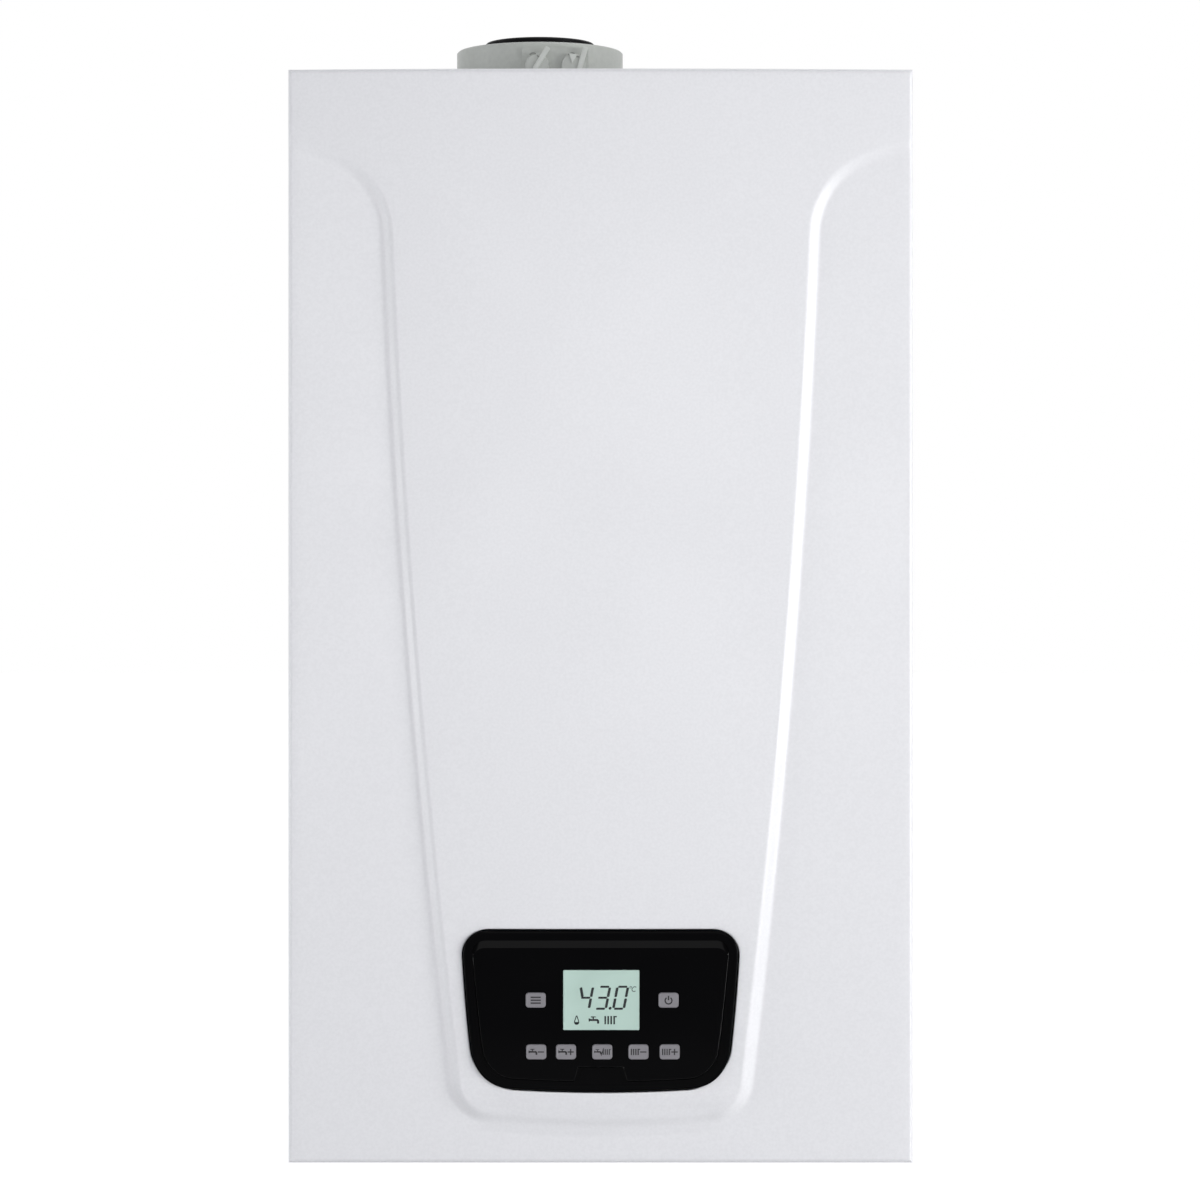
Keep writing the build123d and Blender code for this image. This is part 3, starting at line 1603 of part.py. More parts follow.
def pump_motor():
    """Wet-rotor motor with its flange, cooling ribs and connection box."""
    with BuildPart() as motor:
        with BuildSketch(face(pump_front)):
            with Locations((pump_x, pump_height)):
                Rectangle(2 * pump_motor_radius, 2 * pump_motor_radius)
        extrude(amount=pump_flange)
        fillet(motor.edges().filter_by(Axis.Y), pump_flange_corner)
        with BuildSketch(face(pump_front + pump_flange)):
            with Locations((pump_x, pump_height)):
                Circle(pump_motor_radius - pump_can_step)
        extrude(amount=pump_motor_front - pump_head - pump_front - pump_flange)
        with BuildSketch(face(pump_motor_front - pump_head)):
            with Locations((pump_x, pump_height)):
                RectangleRounded(2 * pump_motor_radius, 2 * pump_motor_radius, pump_head_corner)
        extrude(amount=pump_head)
        fillet(motor.faces().sort_by(Axis.Y)[0].edges(), pump_head_edge)
        with BuildSketch(face(pump_front)):
            with Locations((pump_x, pump_height)):
                Circle(pump_shaft + pin_clearance)
        extrude(amount=pump_bearing + end_gap, mode=Mode.SUBTRACT)
    return motor.part


def pump_impeller():
    """Two discs with the vanes between them, on the shaft that runs in the motor."""
    channel_back = pump_front - (pump_chamber + pump_channel) / 2
    channel_front = channel_back + pump_channel
    with BuildPart() as impeller:
        for start in (channel_back - pump_disc, channel_front):
            with BuildSketch(face(start)):
                with Locations((pump_x, pump_height)):
                    Circle(pump_impeller_radius)
            extrude(amount=pump_disc)
        with BuildSketch(face(channel_back)):
            with Locations((pump_x, pump_height)):
                with PolarLocations(pump_vane_circle, pump_vanes):
                    Rectangle(pump_vane_length, pump_vane_sheet, rotation=pump_vane_angle)
        extrude(amount=pump_channel)
        with BuildSketch(face(channel_front)):
            with Locations((pump_x, pump_height)):
                Circle(pump_shaft)
        extrude(amount=pump_front + pump_bearing - channel_front)
    return impeller.part


def auto_air_vent():
    """Float vent standing on the pump, its cap on a short stem."""
    shoulder = vent_bottom + vent_body + vent_cone
    cap_bottom = shoulder + vent_cap_gap
    cap_top = vent_bottom + vent_height
    return turned(
        [
            (0, vent_bottom), (vent_base, vent_bottom), (vent_radius, vent_bottom + vent_cone),
            (vent_radius, vent_bottom + vent_body), (vent_cap, shoulder), (vent_stem, shoulder),
            (vent_stem, cap_bottom), (vent_cap, cap_bottom), (vent_cap, cap_top), (0, cap_top),
        ],
        vent_x, tail_depth,
    )


def diverter_motor():
    """Motor of the diverter valve, clipped on the cartridge."""
    start = group_front + cartridge_length
    with BuildPart() as motor:
        with BuildSketch(face(start)):
            with Locations((diverter_x, diverter_height)):
                RectangleRounded(diverter_width, diverter_width, diverter_corner)
        extrude(amount=diverter_motor_depth)
        with BuildSketch(face(start + diverter_motor_depth)):
            with Locations((diverter_x, diverter_height)):
                Circle(diverter_width / 2 - diverter_corner)
        extrude(amount=diverter_dome)
        fillet(motor.faces().sort_by(Axis.Y)[0].edges(), diverter_edge)
        with BuildSketch(face(start)):
            with Locations((diverter_x, diverter_height)):
                Circle(spindle_radius + pin_clearance)
        extrude(amount=spindle_reach + end_gap, mode=Mode.SUBTRACT)
    return motor.part


def diverter_spindle():
    start = group_front + cartridge_length + spindle_reach
    length = spindle_reach + cartridge_length + spindle_depth - spindle_travel - end_gap
    with BuildPart() as spindle:
        with BuildSketch(face(start)):
            with Locations((diverter_x, diverter_height)):
                Circle(spindle_radius)
        extrude(amount=-length)
    return spindle.part


def relief_valve():
    """Safety valve on the return group, with its discharge pipe down through the bottom plate."""
    with BuildPart() as valve:
        with BuildSketch(face(group_front)):
            with Locations((relief_x, relief_height)):
                RegularPolygon(relief_body, 6)
        extrude(amount=relief_front - group_front)
        with BuildSketch(under(relief_height)):
            with Locations((relief_x, relief_depth)):
                Circle(relief_radius - spigot_step)
        extrude(amount=relief_height - tail_end)
        with BuildSketch(under(spigot_stop)):
            with Locations((relief_x, relief_depth)):
                Circle(relief_radius)
        extrude(amount=spigot_stop - tail_end)
        with BuildSketch(under(relief_height - relief_body)):
            with Locations((relief_x, relief_depth)):
                Circle(relief_radius - spigot_step - pipe_wall)
        extrude(amount=relief_height - relief_body - tail_end, mode=Mode.SUBTRACT)
        with BuildSketch(face(relief_front)):
            with Locations((relief_x, relief_height)):
                Circle(pump_shaft + pin_clearance)
        extrude(amount=-relief_stem - end_gap, mode=Mode.SUBTRACT)
    return valve.part


def relief_knob():
    """Red test knob of the safety valve."""
    knob_back = relief_front + stem_clearance
    with BuildPart() as knob:
        with BuildSketch(face(knob_back)):
            with Locations((relief_x, relief_height)):
                Circle(relief_body)
        extrude(amount=knob_height)
        fillet(knob.faces().sort_by(Axis.Y)[0].edges(), knob_edge)
        with BuildSketch(face(knob_back)):
            with Locations((relief_x, relief_height)):
                with PolarLocations(relief_body + grip_offset, grip_count):
                    Circle(grip_radius)
        extrude(amount=knob_height, mode=Mode.SUBTRACT)
        with BuildSketch(face(knob_back)):
            with Locations((relief_x, relief_height)):
                Circle(pump_shaft)
        extrude(amount=-relief_stem)
    return knob.part


def filling_tap():
    """Filling tap between the cold water and return connections, its stem pointing down."""
    with BuildPart() as tap:
        with BuildSketch(under(group_bottom)):
            with Locations((filling_x, tail_depth)):
                Circle(tap_radius)
        extrude(amount=group_bottom - knob_top - stem_clearance)
        with BuildSketch(under(neck_ring)):
            with Locations((filling_x, tail_depth)):
                Circle(tap_radius + tap_ring)
        extrude(amount=tap_ring_height)
        with BuildSketch(under(knob_top + stem_clearance)):
            with Locations((filling_x, tail_depth)):
                Circle(pump_shaft + pin_clearance)
        extrude(amount=-tap_stem - end_gap, mode=Mode.SUBTRACT)
    return tap.part


def filling_knob():
    """Knob under the filling tap."""
    with BuildPart() as knob:
        with BuildSketch(under(knob_top)):
            with Locations((filling_x, tail_depth)):
                Circle(filling_knob_radius)
                with PolarLocations(filling_knob_radius + filling_grip_offset, filling_grip_count):
                    Circle(filling_grip_radius, mode=Mode.SUBTRACT)
        extrude(amount=knob_height)
        with BuildSketch(under(knob_top)):
            with Locations((filling_x, tail_depth)):
                Circle(pump_shaft)
        extrude(amount=-tap_stem)
    return knob.part


def pressure_gauge():
    """Round gauge under the bottom plate, facing down, with its stem through the plate."""
    with BuildPart() as gauge:
        with BuildSketch(under(bottom_height + gauge_stem_length)):
            with Locations((gauge_x, gauge_depth)):
                Circle(gauge_stem)
        extrude(amount=gauge_stem_length + sheet)
        with BuildSketch(under(bottom_height - sheet)):
            with Locations((gauge_x, gauge_depth)):
                Circle(gauge_radius)
        extrude(amount=gauge_depth_below)
        with BuildSketch(under(dial - gauge_recess)):
            with Locations((gauge_x, gauge_depth)):
                Circle(gauge_radius - gauge_rim)
        extrude(amount=-gauge_recess, mode=Mode.SUBTRACT)
        with BuildSketch(under(dial)):
            with Locations((gauge_x, gauge_depth)):
                Circle(needle_pivot)
        extrude(amount=-needle_pivot_depth, mode=Mode.SUBTRACT)
    return gauge.part


def gauge_needle():
    """Needle with its hub and the pivot pin in the dial."""
    with BuildPart() as needle:
        with BuildSketch(under(dial - needle_lift)):
            with Locations((gauge_x, gauge_depth)):
                Circle(needle_hub)
            with Locations((gauge_x - (needle_reach - needle_tail) / 2, gauge_depth)):
                Rectangle(needle_reach + needle_tail, needle_width)
        extrude(amount=needle_sheet)
        with BuildSketch(under(dial - needle_lift)):
            with Locations((gauge_x, gauge_depth)):
                Circle(needle_pivot - pin_clearance)
        extrude(amount=-needle_pin)
    return needle.part


def condensate_trap():
    """Bottle trap at the left, with its outlet spigot through the bottom plate."""
    with BuildPart() as trap:
        with BuildSketch(under(trap_top)):
            with Locations((trap_x, trap_depth)):
                Circle(trap_radius)
        extrude(amount=trap_top - trap_bottom)
        fillet(trap.faces().sort_by(Axis.Z)[-1].edges(), trap_edge)
        with BuildSketch(under(trap_top - trap_ring_drop)):
            with Locations((trap_x, trap_depth)):
                Circle(trap_radius + trap_ring)
        extrude(amount=trap_ring_height)
        with BuildSketch(under(trap_bottom)):
            with Locations((trap_x, trap_depth)):
                Circle(outlet_radius - spigot_step)
        extrude(amount=trap_bottom - tail_end)
        with BuildSketch(under(spigot_stop)):
            with Locations((trap_x, trap_depth)):
                Circle(outlet_radius)
        extrude(amount=spigot_stop - tail_end)
        with BuildSketch(under(trap_top + trap_nozzle)):
            with Locations((trap_x, trap_depth)):
                Circle(hose_radius)
        extrude(amount=trap_nozzle)
        with BuildSketch(under(tail_end)):
            with Locations((trap_x, trap_depth)):
                Circle(outlet_radius - spigot_step - trap_wall)
        extrude(amount=tail_end - trap_bottom, mode=Mode.SUBTRACT)
    return trap.part


def condensate_hose():
    """Hose from the heat exchanger's drain to the trap."""
    return pipe(
        [
            (flue_x, hose_depth, stub_end), (flue_x, hose_depth, hose_level),
            (trap_x, trap_depth, hose_level - 20), (trap_x, trap_depth, trap_top + trap_nozzle),
        ],
        hose_radius, hose_wall, 2.5 * hose_radius,
    )


def connection_tails():
    """The five threaded tails under the boiler, each with its hexagon collar."""
    with BuildPart() as tails:
        for x, thread in zip(connection_x, connection_thread):
            with BuildSketch(under(nut_bottom)):
                with Locations((x, tail_depth)):
                    Circle(thread)
            extrude(amount=nut_bottom - tail_end)
            chamfer(tails.edges().group_by(Axis.Z)[0].sort_by(Axis.X)[-1], thread_edge)
            with BuildSketch(under(nut_top)):
                with Locations((x, tail_depth)):
                    RegularPolygon(thread + hex_grip, 6)
            extrude(amount=nut_top - nut_bottom)
            with BuildSketch(under(tail_top)):
                with Locations((x, tail_depth)):
                    Circle(thread - neck_step)
            extrude(amount=tail_top - nut_top)
            with BuildSketch(under(tail_top)):
                with Locations((x, tail_depth)):
                    Circle(thread - neck_step - tail_wall)
            extrude(amount=tail_top - tail_end, mode=Mode.SUBTRACT)
    return tails.part


# ---- Write every piece ----

pieces = {
    "wall_bracket": wall_bracket(),
    "rear_frame": rear_frame(),
    "left_side_panel": side_panel(-1),
    "right_side_panel": side_panel(1),
    "top_plate": top_plate(),
    "bottom_plate": bottom_plate(),
    "cover_seal": cover_seal(),
    "front_cover": front_cover(),
    "cover_screws": cover_screws(),
    "fascia_frame": fascia_frame(),
    "fascia_plate": fascia_plate(),
    "display_window": display_window(),
    "display_board": display_board(),
    "control_box_tray": control_box_tray(),
    "control_box_lid": control_box_lid(),
    "control_board": control_board(),
    "hinge_pins": hinge_pins(),
    "cable_gland": cable_gland(),
    "flue_adapter": flue_adapter(),
    "sampling_caps": sampling_caps(),
    "adapter_seals": adapter_seals(),
    "heat_exchanger_body": heat_exchanger_body(),
    "heat_exchanger_coil": heat_exchanger_coil(),
    "burner": burner(),
    "burner_door": burner_door(),
    "door_nuts": door_nuts(),
    "electrodes": electrodes(),
    "fan_housing": fan_housing(),
    "fan_impeller": fan_impeller(),
    "fan_motor": fan_motor(),
    "venturi": venturi(),
    "gas_valve": gas_valve(),
    "gas_pipe": gas_pipe(),
    "expansion_vessel": expansion_vessel(),
    "heating_pipes": heating_pipes(),
    "return_group": return_group(),
    "flow_group": flow_group(),
    "plate_heat_exchanger": plate_heat_exchanger(),
    "pump_body": pump_body(),
    "pump_motor": pump_motor(),
    "pump_impeller": pump_impeller(),
    "auto_air_vent": auto_air_vent(),
    "diverter_motor": diverter_motor(),
    "diverter_spindle": diverter_spindle(),
    "relief_valve": relief_valve(),
    "relief_knob": relief_knob(),
    "filling_tap": filling_tap(),
    "filling_knob": filling_knob(),
    "pressure_gauge": pressure_gauge(),
    "gauge_needle": gauge_needle(),
    "condensate_trap": condensate_trap(),
    "condensate_hose": condensate_hose(),
    "connection_tails": connection_tails(),
}
for name, spot in button_places.items():
    pieces[name] = button(*spot)

os.makedirs("parts", exist_ok=True)
for name, piece in pieces.items():
    piece.label = name
    export_step(piece, f"parts/{name}.step")
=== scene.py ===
"""Looks of a wall-hung combi boiler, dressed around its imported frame.

Lengths are millimetres, as in the part's source: x to the right, depth out from the wall, height
above the underside of the case. A form is drawn as (x, height, depth) and is then turned upright
and brought to metres in one step, so every finished object sits at the origin.
"""

import logging
import math
from collections.abc import Iterable, Sequence
from dataclasses import dataclass
from enum import Enum
from typing import NamedTuple

import bmesh
import bpy
from bmesh.types import BMEdge, BMesh, BMFace, BMVert
from mathutils import Matrix, Vector


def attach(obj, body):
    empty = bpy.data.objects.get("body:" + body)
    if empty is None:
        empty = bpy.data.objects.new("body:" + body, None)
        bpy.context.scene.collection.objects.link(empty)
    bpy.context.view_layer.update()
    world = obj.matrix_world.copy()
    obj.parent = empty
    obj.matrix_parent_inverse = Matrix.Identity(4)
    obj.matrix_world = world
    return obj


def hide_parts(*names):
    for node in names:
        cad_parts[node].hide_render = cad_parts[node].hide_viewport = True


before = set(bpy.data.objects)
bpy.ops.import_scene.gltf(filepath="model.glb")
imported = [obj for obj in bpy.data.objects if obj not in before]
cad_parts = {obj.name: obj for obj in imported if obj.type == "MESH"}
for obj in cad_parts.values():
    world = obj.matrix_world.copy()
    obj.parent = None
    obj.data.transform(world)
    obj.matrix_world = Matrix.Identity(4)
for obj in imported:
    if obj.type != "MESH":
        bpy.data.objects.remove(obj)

logging.basicConfig(level=logging.INFO, format="%(message)s")
log = logging.getLogger("boiler")

Point = tuple[float, float]

MM = 0.001
NEAR = 0.001            # places nearer to each other than this are the same
WELD = 0.002            # corners nearer to each other than this become one
HANG_HEIGHT = 640.0     # the frame's origin above the underside of the case
QUARTER = math.radians(90)
TO_FRAME = Matrix.Scale(MM, 4) @ Matrix.Translation((0, 0, -HANG_HEIGHT))
UPRIGHT = TO_FRAME @ Matrix.Rotation(QUARTER, 4, "X")          # drawn as x, height, depth
UNDERNEATH = TO_FRAME @ Matrix.Rotation(2 * QUARTER, 4, "X")   # drawn as x, depth, -height


def linear(code: str) -> tuple[float, float, float, float]:
    """Turns a colour to the values that a shader works with.

    Args:
        code: sRGB hex value, such as "e8eaec".

    Returns:
        Red, green, blue and alpha.
    """
    shares = [int(code[i:i + 2], 16) / 255 for i in (0, 2, 4)]
    parts = [s / 12.92 if s <= 0.04045 else ((s + 0.055) / 1.055) ** 2.4 for s in shares]
    return parts[0], parts[1], parts[2], 1.0


def clamped(value: float, start: float, end: float) -> float:
    """How far a value is from start to end, as a share between 0 and 1."""
    return min(max((value - start) / (end - start), 0.0), 1.0)


def eased(value: float, start: float, end: float) -> float:
    """The same share, which sets off and arrives gently."""
    share = clamped(value, start, end)
    return share * share * (3 - 2 * share)


def add_node(
    tree: bpy.types.NodeTree,
    kind: str,
    inputs: dict[str | int, object] | None = None,
    **settings: object,
) -> bpy.types.Node:
    """Adds a node with its settings, its constants and its links.

    Args:
        tree: node tree that takes it.
        kind: the node's type.
        inputs: what goes into each socket: a constant, or the socket that it is linked from.
        settings: values of the node's own properties.

    Returns:
        The new node.
    """
    node = tree.nodes.new(kind)
    for name, value in settings.items():
        setattr(node, name, value)
    for socket, value in (inputs or {}).items():
        if isinstance(value, bpy.types.NodeSocket):
            tree.links.new(value, node.inputs[socket])
        else:
            node.inputs[socket].default_value = value
    return node


# ---- Finishes ----

NOISE_SPAN = {"From Min": 0.3, "From Max": 0.7}     # where the values of a noise texture lie
SMOOTHEST = 0.02                                    # lowest roughness that a surface wanders to


class Pattern(Enum):
    """What a surface shows close up: the texture node, its output and its own settings."""

    PEEL = ("ShaderNodeTexNoise", 0, {"Detail": 1.0, "Roughness": 0.4})
    GRAIN = ("ShaderNodeTexNoise", 0, {"Detail": 4.0, "Roughness": 0.65})
    CAST = ("ShaderNodeTexNoise", 0, {"Detail": 6.0, "Roughness": 0.7})
    STREAK = ("ShaderNodeTexNoise", 0, {"Detail": 2.0, "Roughness": 0.5})
    SPANGLE = ("ShaderNodeTexVoronoi", 1, {"Randomness": 1.0})
    CELLS = ("ShaderNodeTexVoronoi", 0, {"Randomness": 1.0})


@dataclass(frozen=True)
class Finish:
    """A real material and how its surface was made: a procedural shader on object coordinates."""

    name: str
    slot: str
    colour: str
    shade: str                # second colour, which the pattern mixes in
    roughness: float
    pattern: Pattern
    pitch: float              # distance between marks of the pattern
    relief: float = 0.0       # height of those marks
    mix: float = 0.6          # how much of the second colour shows
    swing: float = 0.06       # how far the roughness wanders over the surface
    patch: float = 70.0       # size of the areas that it wanders over
    metallic: float = 0.0
    ior: float | None = None
    specular: float = 0.5
    coat: float = 0.0
    coat_roughness: float = 0.05
    stretch: tuple[float, float, float] = (1.0, 1.0, 1.0)

    def material(self) -> bpy.types.Material:
        """Builds the shader once.

        Returns:
            The material that every piece with this finish shares.
        """
        made = bpy.data.materials.get(self.name)
        if made:
            return made
        made = bpy.data.materials.new(self.name)
        made.use_nodes = True
        tree = made.node_tree
        tree.nodes.clear()
        place = add_node(tree, "ShaderNodeTexCoord").outputs["Object"]
        fine = add_node(tree, "ShaderNodeMapping", {
            "Vector": place, "Scale": [s / (self.pitch * MM) for s in self.stretch],
        })
        kind, output, settings = self.pattern.value
        marks = add_node(tree, kind, {
            "Vector": fine.outputs[0], "Scale": 1.0, **settings,
        }).outputs[output]
        share = add_node(tree, "ShaderNodeMapRange", {
            "Value": marks, **NOISE_SPAN, "To Min": 0.0, "To Max": self.mix,
        })
        tint = add_node(tree, "ShaderNodeMix", {
            "Factor": share.outputs[0], 6: linear(self.colour), 7: linear(self.shade),
        }, data_type="RGBA")
        wide = add_node(tree, "ShaderNodeTexNoise", {
            "Vector": place, "Scale": 1 / (self.patch * MM), "Detail": 3.0,
        })
        dull = add_node(tree, "ShaderNodeMapRange", {
            "Value": wide.outputs[0], **NOISE_SPAN,
            "To Min": max(self.roughness - self.swing, SMOOTHEST),
            "To Max": self.roughness + self.swing,
        })
        inputs: dict[str | int, object] = {
            "Base Color": tint.outputs[2], "Roughness": dull.outputs[0], "Metallic": self.metallic,
            "Specular IOR Level": self.specular, "Coat Weight": self.coat,
            "Coat Roughness": self.coat_roughness,
        }
        if self.ior:
            inputs["IOR"] = self.ior
        if self.relief:
            bump = add_node(tree, "ShaderNodeBump", {
                "Height": marks, "Distance": self.relief * MM, "Strength": 1.0,
            })
            inputs["Normal"] = bump.outputs[0]
        shader = add_node(tree, "ShaderNodeBsdfPrincipled", inputs)
        add_node(tree, "ShaderNodeOutputMaterial", {"Surface": shader.outputs[0]})
        return made


# Polyester powder coat on steel: even and cool white, a soft sheen broken by orange peel.
WHITE_ENAMEL = Finish(
    "powder_coated_steel", "white_enamel", "e9e9eb", "e5e5e7", 0.32, Pattern.PEEL, 1.8,
    relief=0.006, mix=1.0, swing=0.04, ior=1.5,
)
# Hot-dip galvanised sheet: grey zinc crystals a few millimetres across, each with its own tone.
GALVANISED = Finish(
    "hot_dip_galvanised_sheet", "galvanised_steel", "b4b8bb", "9ea3a7", 0.42, Pattern.SPANGLE, 6.0,
    relief=0.01, metallic=0.9, swing=0.08,
)
# Closed-cell EPDM foam strip: dead matt, with a skin of tiny cells.
SEAL_FOAM = Finish(
    "epdm_foam_strip", "seal_foam", "262627", "171717", 0.9, Pattern.CELLS, 0.9,
    relief=0.25, ior=1.45,
)
# Polished ABS moulding: near black, with mirror-like edges and the faint waviness of the tool.
BLACK_GLOSS = Finish(
    "polished_black_abs", "black_gloss", "020203", "010102", 0.06, Pattern.PEEL, 26.0,
    relief=0.012, mix=0.8, swing=0.02, ior=1.5, specular=0.03,
)
# The same moulding with its edge diamond-cut afterwards: a bright line where it faces a lamp.
BLACK_CUT_EDGE = Finish(
    "diamond_cut_black_abs", "black_gloss", "0a0a0b", "070708", 0.16, Pattern.STREAK, 1.2,
    mix=0.8, swing=0.03, ior=1.5, specular=0.9,
)
# Reflective liquid-crystal glass: pale grey-green, evenly lit, darker in cloudy patches.
LCD_GLASS = Finish(
    "liquid_crystal_glass", "display_glass", "c3dcd1", "b4cdc2", 0.2, Pattern.PEEL, 34.0,
    mix=0.8, swing=0.03, ior=1.5, specular=0.3,
)
# Switched-on liquid crystal: blue-black, under the same glass.
LCD_SEGMENT = Finish(
    "switched_liquid_crystal", "display_glass", "10171a", "18211f", 0.25, Pattern.PEEL, 5.0,
    mix=0.6, swing=0.03, ior=1.5, specular=0.3,
)
# The same crystal half lit, as the small unit sign is.
LCD_FAINT = Finish(
    "half_switched_liquid_crystal", "display_glass", "3d4b47", "49585a", 0.25, Pattern.PEEL, 5.0,
    mix=0.6, swing=0.03, ior=1.5, specular=0.3,
)
# Spark-eroded ABS key: mid grey with a fine even grain.
KEY_GREY = Finish(
    "spark_eroded_grey_abs", "key_grey", "848286", "7a787c", 0.42, Pattern.GRAIN, 0.35,
    relief=0.02, ior=1.5, specular=0.4,
)
# Pad-printed ink on the keys: charcoal, a little glossier than the key.
KEY_INK = Finish(
    "pad_printed_ink", "key_grey", "1a191c", "131215", 0.35, Pattern.PEEL, 2.0,
    ior=1.5, specular=0.3,
)
# Mineral-filled polypropylene box: dark grey, finely grained by the tool.
BOX_PLASTIC = Finish(
    "grained_polypropylene", "box_plastic", "4b4c4e", "404143", 0.5, Pattern.GRAIN, 0.9,
    relief=0.05, ior=1.49,
)
# Solder mask on glass-fibre board: green lacquer over the fine weave of the laminate.
CIRCUIT_BOARD = Finish(
    "solder_masked_laminate", "circuit_board", "1f5a34", "17482a", 0.32, Pattern.CELLS, 1.6,
    relief=0.03, ior=1.5,
)
# Polyamide gland: black, satin, slightly mottled.
GLAND_BLACK = Finish(
    "moulded_black_polyamide", "gland_black", "1f1f20", "161617", 0.45, Pattern.GRAIN, 0.8,
    relief=0.03, ior=1.53,
)
# Polypropylene flue socket: pale grey with a green cast, milky and softly mottled.
FLUE_GREY = Finish(
    "moulded_grey_polypropylene", "flue_grey", "bfc2bc", "b6b9b3", 0.38, Pattern.GRAIN, 3.5,
    relief=0.02, mix=0.9, ior=1.49, specular=0.4,
)
# The same plastic in its natural, paler state, as the sampling flaps are.
FLUE_PALE = Finish(
    "natural_polypropylene", "flue_grey", "d3d6d0", "cbcec8", 0.34, Pattern.GRAIN, 3.0,
    relief=0.02, mix=0.8, ior=1.49, specular=0.4,
)
# Painted shade: the same plastic in a darker grey, standing in for the shade in the caps' moulded
# undercuts.
FLUE_SHADOW = Finish(
    "grey_polypropylene_painted_shade", "flue_grey", "8d908a", "82857f", 0.45, Pattern.GRAIN, 2.0,
    relief=0.02, mix=0.8, ior=1.49, specular=0.3,
)
# Peroxide-cured EPDM: black with a faint grey bloom, ribs that catch a little light.
SEAL_RUBBER = Finish(
    "moulded_epdm_rubber", "seal_rubber", "0d0d0f", "070708", 0.42, Pattern.GRAIN, 2.2,
    relief=0.03, ior=1.5, specular=0.06,
)
# Glass-filled polyphenylene sulphide: charcoal with pale fibre flecks on the skin.
EXCHANGER_SHELL = Finish(
    "glass_filled_composite", "exchanger_shell", "3e3f41", "5a5b5d", 0.55, Pattern.STREAK, 1.6,
    relief=0.04, mix=0.5, ior=1.6, stretch=(1.0, 1.0, 0.35),
)
# Cold-rolled stainless steel: fine drawing lines round the form and heat tint here and there.
STAINLESS = Finish(
    "drawn_stainless_steel", "stainless", "c2c1be", "a8a6a1", 0.26, Pattern.STREAK, 0.9,
    relief=0.008, metallic=1.0, swing=0.06, stretch=(1.0, 1.0, 0.08),
)
# Pressure die-cast aluminium: pale grey, flow marks and a dull as-cast skin.
CAST_ALUMINIUM = Finish(
    "die_cast_aluminium", "cast_aluminium", "b4b6b8", "96989b", 0.46, Pattern.CAST, 2.4,
    relief=0.09, metallic=0.85, swing=0.08,
)
# Moulded polyamide of fan, trap and water parts: near black with a soft grain.
FAN_PLASTIC = Finish(
    "moulded_dark_polyamide", "fan_plastic", "343538", "292a2c", 0.46, Pattern.GRAIN, 1.1,
    relief=0.05, ior=1.53,
)
# Stoved motor paint: black, satin, with a slight texture.
MOTOR_BLACK = Finish(
    "stoved_black_paint", "motor_black", "242527", "1b1c1d", 0.4, Pattern.PEEL, 1.4,
    relief=0.03, ior=1.5, coat=0.2, coat_roughness=0.25,
)
# Stoved red paint of the expansion vessel: gloss over pressed steel, a little orange peel.
VESSEL_RED = Finish(
    "stoved_red_paint", "vessel_red", "b3211f", "9c1a19", 0.3, Pattern.PEEL, 2.2,
    relief=0.02, ior=1.5, coat=0.4, coat_roughness=0.12,
)
# Hot-forged brass: yellow, with a slightly rough forged skin.
BRASS = Finish(
    "hot_forged_brass", "brass", "d0b26a", "b08f4a", 0.36, Pattern.CAST, 1.8,
    relief=0.05, metallic=1.0, swing=0.08,
)
# Drawn and passivated steel tube: bright, with fine lines along it.
PIPE_STEEL = Finish(
    "drawn_steel_tube", "pipe_steel", "c6c7c8", "a9abad", 0.28, Pattern.STREAK, 0.8,
    relief=0.006, metallic=1.0, stretch=(1.0, 1.0, 0.06),
)
# Painted gas pipe: signal yellow over drawn tube.
GAS_YELLOW = Finish(
    "painted_gas_tube", "gas_yellow", "e0b421", "cf9f16", 0.32, Pattern.PEEL, 2.0,
    relief=0.02, ior=1.5, coat=0.3, coat_roughness=0.15,
)
# Moulded nylon of the relief knob: safety red, satin, finely grained.
KNOB_RED = Finish(
    "moulded_red_nylon", "knob_red", "c22a20", "a9211a", 0.38, Pattern.GRAIN, 0.9,
    relief=0.03, ior=1.53,
)
# The same nylon in the blue of a cold-water knob.
KNOB_BLUE = Finish(
    "moulded_blue_nylon", "knob_blue", "24509c", "1c4286", 0.38, Pattern.GRAIN, 0.9,
    relief=0.03, ior=1.53,
)
# Moulded ABS gauge case: black with a soft sheen.
GAUGE_CASE = Finish(
    "moulded_gauge_case", "gauge_case", "2b2b2c", "202021", 0.36, Pattern.GRAIN, 0.8,
    relief=0.03, ior=1.5,
)
# Gauge dial: white stoved enamel on tinplate, smooth and softly shining.
DIAL_WHITE = Finish(
    "enamelled_dial", "gauge_case", "eeeeea", "e6e6e1", 0.3, Pattern.PEEL, 1.0,
    relief=0.006, ior=1.5,
)
# Screen-printed ink on the dial: soft black, duller than the enamel.
DIAL_INK = Finish(
    "dial_ink", "gauge_case", "1b1b1c", "242425", 0.4, Pattern.PEEL, 1.5, ior=1.5, specular=0.3,
)

